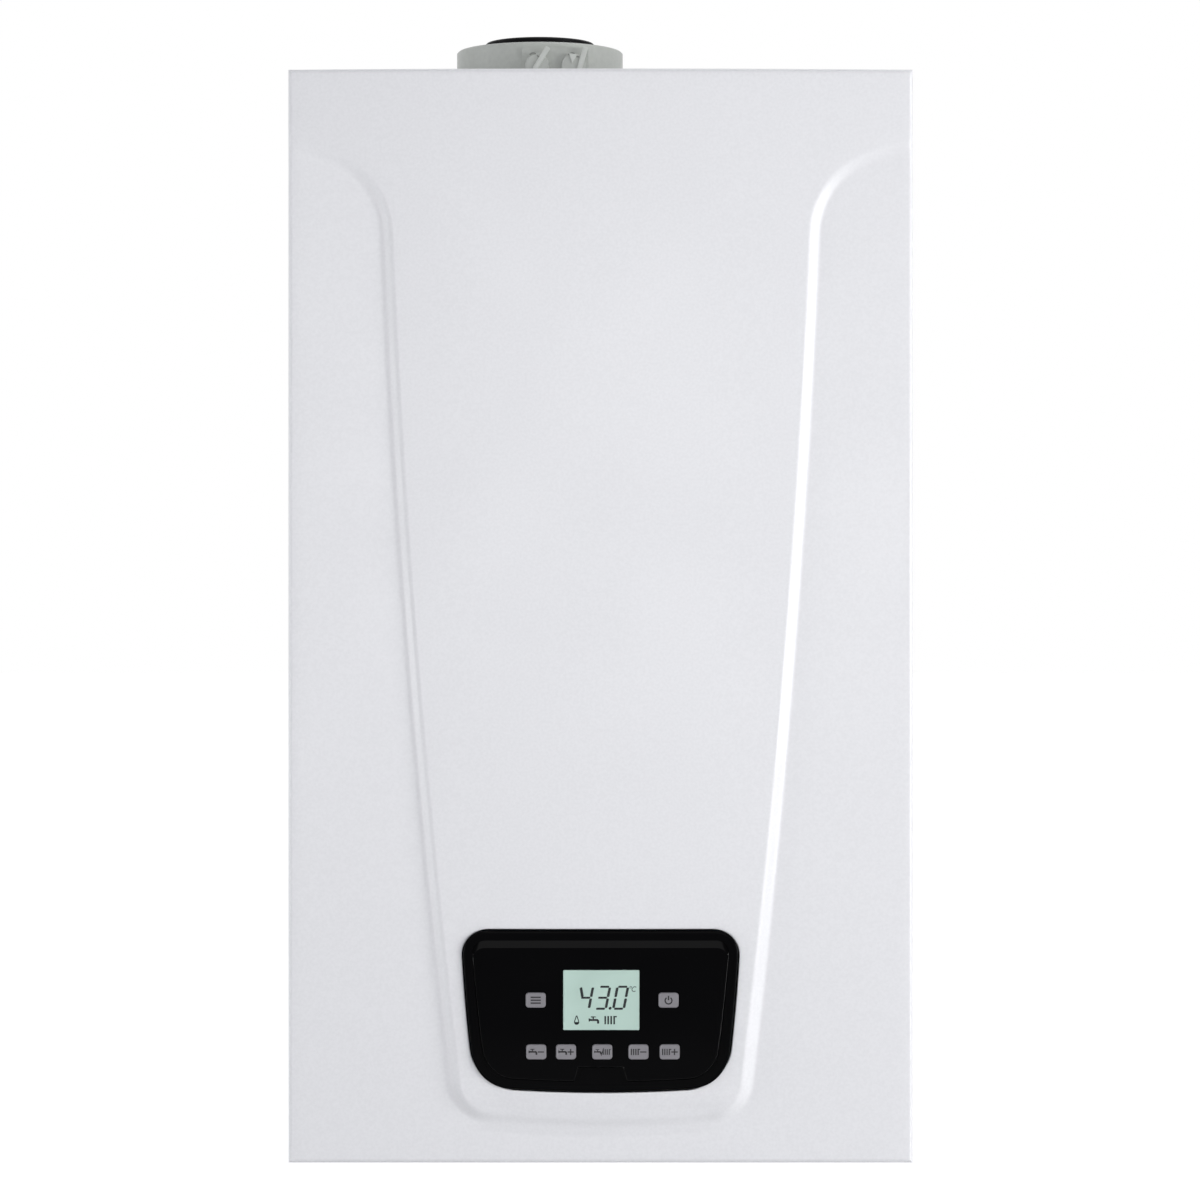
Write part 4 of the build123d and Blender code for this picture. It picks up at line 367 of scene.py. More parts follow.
NODE_FINISHES: dict[Finish, tuple[str, ...]] = {
    GALVANISED: (
        "wall_bracket", "rear_frame", "bottom_plate", "hinge_pins", "cover_screws", "door_nuts",
    ),
    WHITE_ENAMEL: ("front_cover", "left_side_panel", "right_side_panel", "top_plate"),
    SEAL_FOAM: ("cover_seal",),
    BLACK_GLOSS: ("fascia_frame", "fascia_plate"),
    LCD_GLASS: ("display_window",),
    KEY_GREY: (
        "button_menu", "button_power", "button_water_down", "button_water_up", "button_mode",
        "button_heating_down", "button_heating_up",
    ),
    BOX_PLASTIC: ("control_box_tray", "control_box_lid"),
    CIRCUIT_BOARD: ("display_board", "control_board"),
    GLAND_BLACK: ("cable_gland",),
    FLUE_GREY: ("flue_adapter", "sampling_caps"),
    SEAL_RUBBER: ("adapter_seals", "condensate_hose"),
    EXCHANGER_SHELL: ("heat_exchanger_body",),
    STAINLESS: ("heat_exchanger_coil", "burner", "plate_heat_exchanger", "electrodes"),
    CAST_ALUMINIUM: ("burner_door", "fan_housing", "gas_valve"),
    FAN_PLASTIC: (
        "fan_impeller", "venturi", "diverter_motor", "condensate_trap", "auto_air_vent",
        "pump_impeller",
    ),
    MOTOR_BLACK: ("fan_motor", "pump_motor"),
    VESSEL_RED: ("expansion_vessel",),
    BRASS: (
        "return_group", "flow_group", "pump_body", "relief_valve", "filling_tap",
        "connection_tails", "diverter_spindle",
    ),
    PIPE_STEEL: ("heating_pipes",),
    GAS_YELLOW: ("gas_pipe",),
    KNOB_RED: ("relief_knob",),
    KNOB_BLUE: ("filling_knob",),
    GAUGE_CASE: ("pressure_gauge", "gauge_needle"),
}


# ---- Shared ways of making a piece ----

def make_piece(
    bm: BMesh,
    name: str,
    finish: Finish,
    body: str,
    replaces: Iterable[str] = (),
    view: Matrix = UPRIGHT,
    crease: float = 30.0,
    wall: float = 0.0,
) -> bpy.types.Object:
    """Turns a drawn form into a finished piece in its place.

    Args:
        bm: the form, in millimetres; it is freed here.
        name: the piece's name.
        finish: its material.
        body: the CAD body that it moves with.
        replaces: CAD nodes that it stands for.
        view: how the drawing is turned into the frame.
        crease: angle above which an edge stays sharp, in degrees.
        wall: thickness given to an open sheet, inwards from the drawn face.

    Returns:
        The finished object.
    """
    bmesh.ops.transform(bm, matrix=view, verts=bm.verts)
    bmesh.ops.remove_doubles(bm, verts=bm.verts, dist=WELD * MM)
    bmesh.ops.recalc_face_normals(bm, faces=bm.faces)
    if wall and sum(f.normal.y * f.calc_area() for f in bm.faces) > 0:
        bmesh.ops.reverse_faces(bm, faces=bm.faces)
    mesh = bpy.data.meshes.new(name)
    bm.to_mesh(mesh)
    bm.free()
    mesh.shade_smooth()
    mesh.set_sharp_from_angle(angle=math.radians(crease))
    mesh.materials.append(finish.material())
    piece = bpy.data.objects.new(name, mesh)
    bpy.context.scene.collection.objects.link(piece)
    if wall:
        shell = piece.modifiers.new("sheet", "SOLIDIFY")
        shell.thickness = wall * MM
        shell.offset = -1.0
        shell.use_even_offset = True
    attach(piece, body)
    if replaces:
        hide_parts(*replaces)
    log.info("%s: %d faces, %s, on %s", name, len(mesh.polygons), finish.name, body)
    return piece


def new_verts(result: dict) -> list[BMVert]:
    """Vertices among what an operator returned."""
    return [item for item in result["geom"] if isinstance(item, BMVert)]


def extend(bm: BMesh, edges: Sequence[BMEdge]) -> tuple[list[BMVert], list[BMEdge]]:
    """Extrudes a chain of edges in place.

    Args:
        bm: the form.
        edges: the chain.

    Returns:
        The new vertices and the new chain between them.
    """
    result = bmesh.ops.extrude_edge_only(bm, edges=edges)
    verts = new_verts(result)
    fresh = set(verts)
    chain = [e for e in result["geom"] if isinstance(e, BMEdge) and fresh.issuperset(e.verts)]
    return verts, chain


def outline(
    bm: BMesh, corners: Sequence[tuple[float, float, float]], depth: float, segments: int
) -> list[BMEdge]:
    """Draws a closed outline with rounded corners.

    Args:
        bm: the form.
        corners: x, height and radius of each corner, in order.
        depth: where it lies.
        segments: edges along each round.

    Returns:
        The outline's edges, with no face in them.
    """
    others = set(bm.faces)
    face = bm.faces.new([bm.verts.new((x, height, depth)) for x, height, _ in corners])
    for vert, (_, _, radius) in zip(list(face.verts), corners):
        if radius:
            before, after = (e.other_vert(vert).co - vert.co for e in vert.link_edges[:2])
            reach = radius / math.tan(before.angle(after) / 2)
            bmesh.ops.bevel(
                bm, geom=[vert], offset=reach, offset_type="OFFSET", affect="VERTICES",
                segments=segments, profile=0.5, material=-1, clamp_overlap=True,
            )
    face = next(f for f in bm.faces if f not in others)
    edges = list(face.edges)
    bmesh.ops.delete(bm, geom=[face], context="FACES_ONLY")
    return edges


class Bar(NamedTuple):
    """Straight stroke: its ends and its width."""

    start: Point
    end: Point
    width: float


class Arc(NamedTuple):
    """Bent stroke: centre, radius and width, then degrees from x, degrees turned and its pieces."""

    centre: Point
    radius: float
    width: float
    start: float
    sweep: float
    steps: int


class Symbol(Enum):
    """Generic signs and figures, as strokes about their middle in shares of their height."""

    TAP = (
        Bar((-0.62, 0.02), (0.3, 0.02), 0.26), Bar((-0.62, -0.18), (-0.62, 0.22), 0.13),
        Arc((0.3, -0.16), 0.18, 0.26, 90, -90, 6), Bar((0.48, -0.14), (0.48, -0.42), 0.26),
        Bar((-0.12, 0.12), (-0.12, 0.34), 0.16), Bar((-0.42, 0.4), (0.18, 0.4), 0.13),
    )
    RADIATOR = (
        *(Bar((-0.6 + 0.36 * fin, -0.5), (-0.6 + 0.36 * fin, 0.5), 0.2) for fin in range(4)),
        Bar((0.58, 0.42), (0.8, 0.42), 0.16),
    )
    MINUS = (Bar((-0.5, 0), (0.5, 0), 0.2),)
    PLUS = (
        Bar((-0.5, 0), (0.5, 0), 0.2), Bar((0, 0.1), (0, 0.5), 0.2), Bar((0, -0.5), (0, -0.1), 0.2),
    )
    SLASH = (Bar((-0.18, -0.55), (0.18, 0.55), 0.1),)
    POWER = (Arc((0, -0.04), 0.4, 0.16, 125, 290, 24), Bar((0, 0), (0, 0.52), 0.16))
    MENU = tuple(Bar((-0.6, 0.34 * row), (0.6, 0.34 * row), 0.17) for row in (-1, 0, 1))
    DROP = (
        Arc((0, -0.22), 0.24, 0.1, 155, 230, 18), Bar((-0.22, -0.12), (-0.02, 0.5), 0.1),
        Bar((0.22, -0.12), (0.02, 0.5), 0.1), Arc((0, -0.2), 0.13, 0.26, 180, 180, 12),
    )
    ZERO = (
        Arc((0, 0.2), 0.22, 0.16, 0, 180, 10), Bar((0.22, -0.2), (0.22, 0.2), 0.16),
        Arc((0, -0.2), 0.22, 0.16, -180, 180, 10), Bar((-0.22, -0.2), (-0.22, 0.2), 0.16),
    )
    ONE = (Bar((0.05, -0.5), (0.05, 0.5), 0.16), Bar((-0.18, 0.28), (0.05, 0.46), 0.16))
    TWO = (
        Arc((0, 0.2), 0.22, 0.16, 170, -200, 10), Bar((0.2, 0.12), (-0.24, -0.44), 0.16),
        Bar((-0.28, -0.42), (0.28, -0.42), 0.16),
    )
    THREE = (Arc((0, 0.21), 0.2, 0.16, 150, -240, 10), Arc((0, -0.2), 0.22, 0.16, 90, -240, 10))
    FOUR = (
        Bar((0.12, -0.5), (0.12, 0.5), 0.16), Bar((0.12, 0.46), (-0.3, -0.16), 0.16),
        Bar((-0.34, -0.2), (0.32, -0.2), 0.16),
    )


class Drawing:
    """Flat marks on one level, which get a small thickness at the end."""

    def __init__(self, level: float, thickness: float) -> None:
        """Starts an empty drawing whose face lies at level once it has its thickness."""
        self.bm = bmesh.new()
        self.base = level - thickness
        self.thickness = thickness

    def bar(self, start: Point, end: Point, width: float, point: float = 0.0) -> None:
        """Draws a straight bar.

        Args:
            start: x and height where it begins.
            end: x and height where it ends.
            width: its width.
            point: how much each corner is cut off.
        """
        a, b = Vector((*start, self.base)), Vector((*end, self.base))
        turn = Matrix.Rotation(math.atan2(b.y - a.y, b.x - a.x), 4, "Z")
        size = Matrix.Diagonal(((b - a).length, width, 1, 1))
        place = Matrix.Translation((a + b) / 2) @ turn @ size
        made = bmesh.ops.create_grid(self.bm, x_segments=1, y_segments=1, size=0.5, matrix=place)
        for vert in made["verts"] if point else ():
            bmesh.ops.bevel(
                self.bm, geom=[vert], offset=point, offset_type="OFFSET", affect="VERTICES",
                segments=1, profile=0.5, material=-1,
            )

    def polygon(self, corners: Sequence[Point]) -> None:
        """Draws a filled shape through a few corners."""
        self.bm.faces.new([self.bm.verts.new((*corner, self.base)) for corner in corners])

    def disc(self, centre: Point, radius: float) -> None:
        """Draws a filled round."""
        bmesh.ops.create_circle(
            self.bm, cap_ends=True, segments=24, radius=radius,
            matrix=Matrix.Translation((*centre, self.base)),
        )

    def arc(
        self, centre: Point, radius: float, width: float, start: float, sweep: float, steps: int
    ) -> None:
        """Draws a bar bent round a centre.

        Args:
            centre: x and height of the centre.
            radius: to the middle of the bar.
            width: its width.
            start: direction of its beginning, in degrees from x.
            sweep: how far it turns, in degrees.
            steps: pieces along it.
        """
        way = Vector((math.cos(math.radians(start)), math.sin(math.radians(start)), 0))
        middle = Vector((*centre, self.base))
        ends = [self.bm.verts.new(middle + way * (radius + side * width / 2)) for side in (-1, 1)]
        edge = self.bm.edges.new(ends)
        bmesh.ops.spin(
            self.bm, geom=[*ends, edge], cent=middle, axis=(0, 0, 1), dvec=(0, 0, 0),
            angle=math.radians(sweep), steps=steps, use_merge=abs(sweep) == 360,
            use_normal_flip=False, use_duplicate=False,
        )

    def sign(self, symbol: Symbol, middle: Point, size: float) -> None:
        """Draws a sign.

        Args:
            symbol: which sign.
            middle: x and height of its middle.
            size: its height.
        """
        def at(share: Point) -> Point:
            """Place of a point of the sign."""
            return middle[0] + share[0] * size, middle[1] + share[1] * size

        for stroke in symbol.value:
            if isinstance(stroke, Bar):
                self.bar(at(stroke.start), at(stroke.end), stroke.width * size)
            else:
                centre, radius, width, *turn = stroke
                self.arc(at(centre), radius * size, width * size, *turn)

    def lean(self, slope: float, level: float) -> None:
        """Shears everything drawn so far to the right, by slope above the given height."""
        shear = Matrix(((1, slope, 0, -slope * level), (0, 1, 0, 0), (0, 0, 1, 0), (0, 0, 0, 1)))
        bmesh.ops.transform(self.bm, matrix=shear, verts=self.bm.verts)

    def solid(self) -> BMesh:
        """Gives the marks their thickness and returns the form."""
        raised = bmesh.ops.extrude_face_region(self.bm, geom=self.bm.faces[:])
        bmesh.ops.translate(self.bm, vec=(0, 0, self.thickness), verts=new_verts(raised))
        return self.bm


# ---- Front cover ----

def circle_through(a: Vector, b: Vector, c: Vector) -> tuple[Vector, float]:
    """Finds the circle through three points.

    Args:
        a: first point.
        b: second point.
        c: third point.

    Returns:
        Its centre and its radius.
    """
    p, q = b - a, c - a
    cross = 2 * (p.x * q.y - p.y * q.x)
    x = (q.y * p.length_squared - p.y * q.length_squared) / cross
    y = (p.x * q.length_squared - q.x * p.length_squared) / cross
    centre = a + Vector((x, y))
    return centre, (a - centre).length


def soft_least(a: float, b: float, ease: float) -> float:
    """The smaller of two values, with a round of width ease where they cross."""
    share = min(max(0.5 + 0.5 * (b - a) / ease, 0.0), 1.0)
    return b + (a - b) * share - ease * share * (1 - share)


@dataclass
class FrontCover:
    """Pressed cover: flat field, bowed plateau with rounded step, cut-out, turned-back edges."""

    width: float = 400.0
    height: float = 700.0
    back: float = 255.5
    field: float = 290.5          # face of the flat field
    crown: float = 7.0            # plateau's middle above it
    edge_rise: float = 0.4        # and what is left of that at the sides
    edge: float = 3.0             # radius of the outer edges
    edge_steps: int = 6
    lip: float = 14.0
    sheet: float = 1.0
    foot: Point = (0.0, 26.3)     # points on the middle of the step's line, as x and height
    foot_half: Point = (45.7, 27.8)
    corner: Point = (91.4, 32.3)
    waist: Point = (123.6, 359.7)
    shoulder: Point = (137.0, 595.0)
    corner_radius: float = 24.0
    turn_radius: float = 54.0
    tail_slope: float = 18.2
    line_steps: tuple[int, ...] = (22, 20, 90, 26)    # pieces along foot, corner, side and turn
    tail_steps: int = 12
    step_half: float = 3.2        # half the width of the slope
    step_ease: float = 0.3        # share of that width which is rounded at each end
    foot_ease: float = 2.6        # half the width of the line along the foot
    foot_share: float = 0.36      # share of the rise that the line takes; the rest rolls off
    foot_sink: float = 1.65       # roll-off between the line and the fascia
    foot_levels: Point = (36.0, 44.0)
    foot_reach: Point = (58.0, 92.0)
    reach: float = 240.0          # line is drawn past the sides and then cut off
    band: float = 9.5             # rows each side of the step, close together where it bends
    outer_rows: tuple[float, ...] = (8.0, 6.0, 5.2)
    fine_start: float = 4.6
    fine_pitch: float = 0.4
    fine_count: int = 28
    inner_row: float = -7.4
    strip: float = 5.0            # width of the plateau's upright strips
    rim: float = 2.5              # narrow faces beside each round, which keep the flat shaded flat
    window_ring: float = 1.2      # such a face around the cut-out
    window_gap: float = 1.0
    window_round: float = 0.6
    window_steps: int = 3
    window_back: float = 292.5
    notch_x: float = 120.0        # gaps in the lip for the screwed tabs
    notch_half: float = 13.0

    def step_rows(self) -> list[float]:
        """Places across the step, from the field to the plateau."""
        fine = [self.fine_start - self.fine_pitch * i for i in range(self.fine_count)]
        return [self.band, *self.outer_rows, *fine, self.inner_row, -self.band]

    def depth_at(self, x: float, height: float, out: float) -> float:
        """Finds the cover's face.

        Args:
            x: place across the boiler.
            height: place above the underside.
            out: distance outside the middle of the step, negative on the plateau.

        Returns:
            Depth from the wall.
        """
        half = self.width / 2
        rise = self.crown - self.edge_rise
        radius = (half * half + rise * rise) / (2 * rise)
        bow = self.field + self.crown - radius + math.sqrt(radius * radius - x * x)
        share = (self.step_half - out) / (2 * self.step_half)
        share = soft_least(-soft_least(-share, 0.0, self.step_ease), 1.0, self.step_ease)
        side = eased(abs(x), *self.foot_reach)
        peak = math.erf(out / self.foot_ease) / math.erf(self.band / self.foot_ease)
        foot = 0.5 - (out / self.band * (1 - self.foot_share) + peak * self.foot_share) / 2
        low, high = self.foot_levels
        sink = self.foot_sink * (1 - side) * clamped(height, high, low)
        return self.field + (bow - sink - self.field) * (share * side + foot * (1 - side))

    def step_line(self) -> BMesh:
        """Spins the rows across the step along its line, from the foot's middle to past the side.

        Returns:
            The band along the whole line, with the distance from the line in place of depth.
        """
        bm = bmesh.new()
        foot, corner, shoulder = Vector(self.foot), Vector(self.corner), Vector(self.shoulder)
        foot_centre, foot_radius = circle_through(foot, Vector(self.foot_half), corner)
        side_centre, side_radius = circle_through(corner, Vector(self.waist), shoulder)
        near, far = foot_radius - self.corner_radius, side_radius - self.corner_radius
        apart = side_centre - foot_centre
        along = (near * near - far * far + apart.length_squared) / (2 * apart.length)
        off = math.sqrt(near * near - along * along)
        across = Vector((-apart.y, apart.x)).normalized()
        round_centre = foot_centre + apart.normalized() * along + across * off
        if round_centre.y > foot_centre.y:
            round_centre -= 2 * across * off
        to_round, past_round = round_centre - foot_centre, round_centre - side_centre
        start = math.atan2(to_round.y, to_round.x)
        end = math.atan2(past_round.y, past_round.x)
        top_way = shoulder - side_centre
        top = math.atan2(top_way.y, top_way.x)
        turn_centre = shoulder + top_way.normalized() * self.turn_radius
        lean = math.radians(self.tail_slope) - (top + QUARTER)
        verts = [bm.verts.new((foot.x, foot.y - out, out)) for out in self.step_rows()]
        rows = [bm.edges.new(pair) for pair in zip(verts, verts[1:])]
        geom = [*verts, *rows]
        for centre, angle, steps in zip(
            (foot_centre, round_centre, side_centre, turn_centre),
            (start + QUARTER, end - start, top - end, lean), self.line_steps,
        ):
            geom = bmesh.ops.spin(
                bm, geom=geom, cent=(*centre, 0), axis=(0, 0, 1), dvec=(0, 0, 0), angle=angle,
                steps=steps, use_merge=False, use_normal_flip=False, use_duplicate=False,
            )["geom_last"]
        rows = [item for item in geom if isinstance(item, BMEdge)]
        tip = max(v.co.x for e in rows for v in e.verts)
        slope = math.radians(self.tail_slope)
        stride = (self.reach - tip) / math.cos(slope) / self.tail_steps
        for _ in range(self.tail_steps):
            verts, rows = extend(bm, rows)
            bmesh.ops.translate(
                bm, vec=(stride * math.cos(slope), stride * math.sin(slope), 0), verts=verts
            )
        everything = bm.verts[:] + bm.edges[:] + bm.faces[:]
        bmesh.ops.mirror(bm, geom=everything, merge_dist=NEAR, axis="X")
        return bm

    def fill_side(
        self, bm: BMesh, out: float, level: float, hole: Sequence[BMEdge] = ()
    ) -> None:
        """Fills the flat part on one side of the step.

        Args:
            bm: the band along the step.
            out: the band's border that the part starts from.
            level: height of the far side of the part.
            hole: outline that stays open.
        """
        spared = set(hole)
        border = [
            e for e in bm.edges
            if e.is_boundary and e not in spared and all(abs(v.co.z - out) < NEAR for v in e.verts)
        ]
        ends = sorted((v for e in border for v in e.verts), key=lambda v: v.co.x)
        far = [bm.verts.new((v.co.x, level, out)) for v in (ends[0], ends[-1])]
        border += [bm.edges.new(pair) for pair in ((ends[0], far[0]), far, (far[1], ends[-1]))]
        bmesh.ops.triangle_fill(
            bm, use_beauty=True, use_dissolve=False, edges=[*border, *hole], normal=(0, 0, 1)
        )

    def build(self) -> None:
        """Makes the cover and hangs it on the front."""
        bm = self.step_line()
        growth = self.window_gap + self.window_round + self.window_ring
        window = FasciaForm().edges(bm, growth, -self.band)
        self.fill_side(bm, -self.band, self.height + self.lip, window)
        self.fill_side(bm, self.band, -self.lip)
        half, middle = self.width / 2 - self.edge, self.height / 2
        low, high = self.edge, self.height - self.edge
        count = round(2 * half / self.strip)
        uprights = [-half + 2 * half * i / count for i in range(1, count)]
        uprights += [
            side * self.notch_x + end * self.notch_half for side in (-1, 1) for end in (-1, 1)
        ]
        planes = [((x, 0, 0), (1, 0, 0), False) for x in uprights]
        planes += [((side * half, 0, 0), (side, 0, 0), True) for side in (-1, 1)]
        planes += [((0, low, 0), (0, -1, 0), True), ((0, high, 0), (0, 1, 0), True)]
        planes += [
            ((0, level, 0), (0, 1, 0), False) for level in (low + self.rim, middle, high - self.rim)
        ]
        for point, normal, trim in planes:
            bmesh.ops.bisect_plane(
                bm, geom=bm.verts[:] + bm.edges[:] + bm.faces[:], dist=NEAR / 10, plane_co=point,
                plane_no=normal, clear_outer=trim,
            )
        for vert in bm.verts:
            vert.co.z = self.depth_at(*vert.co)
        border = [e for e in bm.edges if e.is_boundary]
        opening = [e for e in border if all(
            abs(v.co.x) < half - self.rim and low + self.rim < v.co.y < middle for v in e.verts
        )]
        inner = set(opening)
        self.turn_edges(bm, [e for e in border if e not in inner], half, middle)
        self.turn_window(bm, opening)
        make_piece(
            bm, "front_cover_pressing", WHITE_ENAMEL, "front_cover", ["front_cover"],
            wall=self.sheet,
        )

    def turn_edges(
        self, bm: BMesh, chain: list[BMEdge], half: float, middle: float
    ) -> None:
        """Rounds the outer border, takes it back and turns the lip in behind.

        Args:
            bm: the cover's face.
            chain: its outer border.
            half: half the width of the face inside the round.
            middle: height of the cover's middle.
        """
        wide, tall = half, middle - self.edge
        centre = Matrix.Translation((0, -middle, 0))

        def grow(to_wide: float, to_tall: float, drop: float) -> None:
            """Extrudes the border to a new half width and half height, and drops it back."""
            nonlocal chain, wide, tall
            verts, chain = extend(bm, chain)
            bmesh.ops.scale(bm, vec=(to_wide / wide, to_tall / tall, 1), space=centre, verts=verts)
            bmesh.ops.translate(bm, vec=(0, 0, -drop), verts=verts)
            wide, tall = to_wide, to_tall

        drop = 0.0
        for step in range(1, self.edge_steps + 1):
            angle = QUARTER * step / self.edge_steps
            grown = self.edge * math.sin(angle)
            fallen = self.edge * (1 - math.cos(angle))
            grow(half + grown, middle - self.edge + grown, fallen - drop)
            drop = fallen
        flat = Matrix.Translation((0, 0, -self.back))
        grow(wide, tall, 0.0)
        verts = {v for e in chain for v in e.verts}
        bmesh.ops.scale(bm, vec=(1, 1, 0), space=flat, verts=list(verts))
        rim = list(chain)
        grow(wide - self.lip, tall - self.lip, 0.0)
        gaps = [
            face for edge in rim for face in edge.link_faces
            if all(abs(v.co.z - self.back) < NEAR for v in face.verts)
            and all(v.co.y < self.sheet for v in edge.verts)
            and abs(abs(sum(v.co.x for v in edge.verts) / 2) - self.notch_x) < self.notch_half
        ]
        bmesh.ops.delete(bm, geom=gaps, context="FACES")

    def turn_window(self, bm: BMesh, chain: list[BMEdge]) -> None:
        """Rounds the border of the cut-out and takes it back to its lip.

        Args:
            bm: the cover's face.
            chain: border of the cut-out.
        """
        places = [v.co for e in chain for v in e.verts]
        low, high = (Vector(f(p[i] for p in places) for i in range(2)) for f in (min, max))
        reach = (high - low) / 2
        centre = Matrix.Translation((*(-(low + high) / 2), 0))
        inward = fallen = 0.0
        for step in range(self.window_steps + 1):
            angle = QUARTER * step / self.window_steps
            verts, chain = extend(bm, chain)
            aim = self.window_ring + self.window_round * math.sin(angle)
            drop = self.window_round * (1 - math.cos(angle))
            shares = [(r - aim) / (r - inward) for r in reach]
            bmesh.ops.scale(bm, vec=(*shares, 1), space=centre, verts=verts)
            bmesh.ops.translate(bm, vec=(0, 0, fallen - drop), verts=verts)
            inward, fallen = aim, drop
        verts, chain = extend(bm, chain)
        lip = Matrix.Translation((0, 0, -self.window_back))
        bmesh.ops.scale(bm, vec=(1, 1, 0), space=lip, verts=verts)


# ---- Control box and fascia ----

@dataclass
class FasciaForm:
    """The fascia's outline: level above, leaning sides, a bowed foot with large corners."""

    top: float = 149.3
    top_x: float = 88.6
    low: float = 50.2
    low_x: float = 79.4
    top_corner: float = 14.0
    low_corner: float = 25.0
    side_bulge: float = 1.06
    foot_bulge: float = 3.4
    notch_width: float = 34.0
    notch_height: float = 8.0
    notch_angle: float = 72.0
    notch_corner: float = 1.2
    corner_steps: int = 14
    long_edge: float = 20.0       # edges longer than this are cut up, so that they can bow
    long_cuts: int = 15

    def edges(
        self, bm: BMesh, growth: float, depth: float, notch: bool = False
    ) -> list[BMEdge]:
        """Draws the outline.

        Args:
            bm: the form that takes it.
            growth: how far outside the fascia's outline it runs.
            depth: where it lies.
            notch: whether its foot has the notch.

        Returns:
            Its edges.
        """
        low = self.low - growth
        corners = [
            (self.top_x + growth, self.top + growth, self.top_corner + growth),
            (-self.top_x - growth, self.top + growth, self.top_corner + growth),
            (-self.low_x - growth, low, self.low_corner + growth),
        ]
        if notch:
            wide = self.notch_width / 2
            narrow = wide - self.notch_height / math.tan(math.radians(self.notch_angle))
            lift = low + self.notch_height
            places = ((-wide, low), (-narrow, lift), (narrow, lift), (wide, low))
            corners += [(*place, self.notch_corner) for place in places]
        corners.append((self.low_x + growth, low, self.low_corner + growth))
        edges = outline(bm, corners, depth, self.corner_steps)
        long = [e for e in edges if e.calc_length() > self.long_edge]
        parts = bmesh.ops.subdivide_edges(bm, edges=long, cuts=self.long_cuts)["geom_split"]
        cut = [part for part in parts if isinstance(part, BMEdge)]
        edges = list(dict.fromkeys([*(e for e in edges if e.is_valid), *cut]))
        middle = (self.top + low) / 2
        for vert in {v for e in edges for v in e.verts}:
            share = (vert.co.y - low) / (self.top - low)
            foot = clamped(vert.co.y, middle, low)
            across = min(abs(vert.co.x) / self.low_x, 1.0)
            vert.co.x *= 1 + self.side_bulge / self.low_x * 4 * share * (1 - share)
            vert.co.y -= self.foot_bulge * foot * foot * (1 - across * across)
        return edges


@dataclass(frozen=True)
class Pane:
    """A rounded rectangle on the fascia."""

    centre: Point
    size: Point
    corner: float
    corner_steps: int = 6

    def edges(self, bm: BMesh, growth: float, depth: float) -> list[BMEdge]:
        """Draws its outline.

        Args:
            bm: the form that takes it.
            growth: how far outside its size it runs.
            depth: where it lies.

        Returns:
            Its edges.
        """
        wide, tall = (side / 2 + growth for side in self.size)
        x, height = self.centre
        corners = [
            (x + a * wide, height + b * tall, self.corner + growth)
            for a, b in ((1, 1), (-1, 1), (-1, -1), (1, -1))
        ]
        return outline(bm, corners, depth, self.corner_steps)

    def block(self, levels: Iterable[Point]) -> BMesh:
        """Makes a closed block of outlines on top of each other.

        Args:
            levels: growth and depth of each, from back to front.

        Returns:
            The block.
        """
        bm = bmesh.new()
        loops = [self.edges(bm, growth, depth) for growth, depth in levels]
        for lower, upper in zip(loops, loops[1:]):
            bmesh.ops.bridge_loops(bm, edges=lower + upper)
        for loop in (loops[0], loops[-1]):
            bmesh.ops.contextual_create(bm, geom=loop)
        return bm


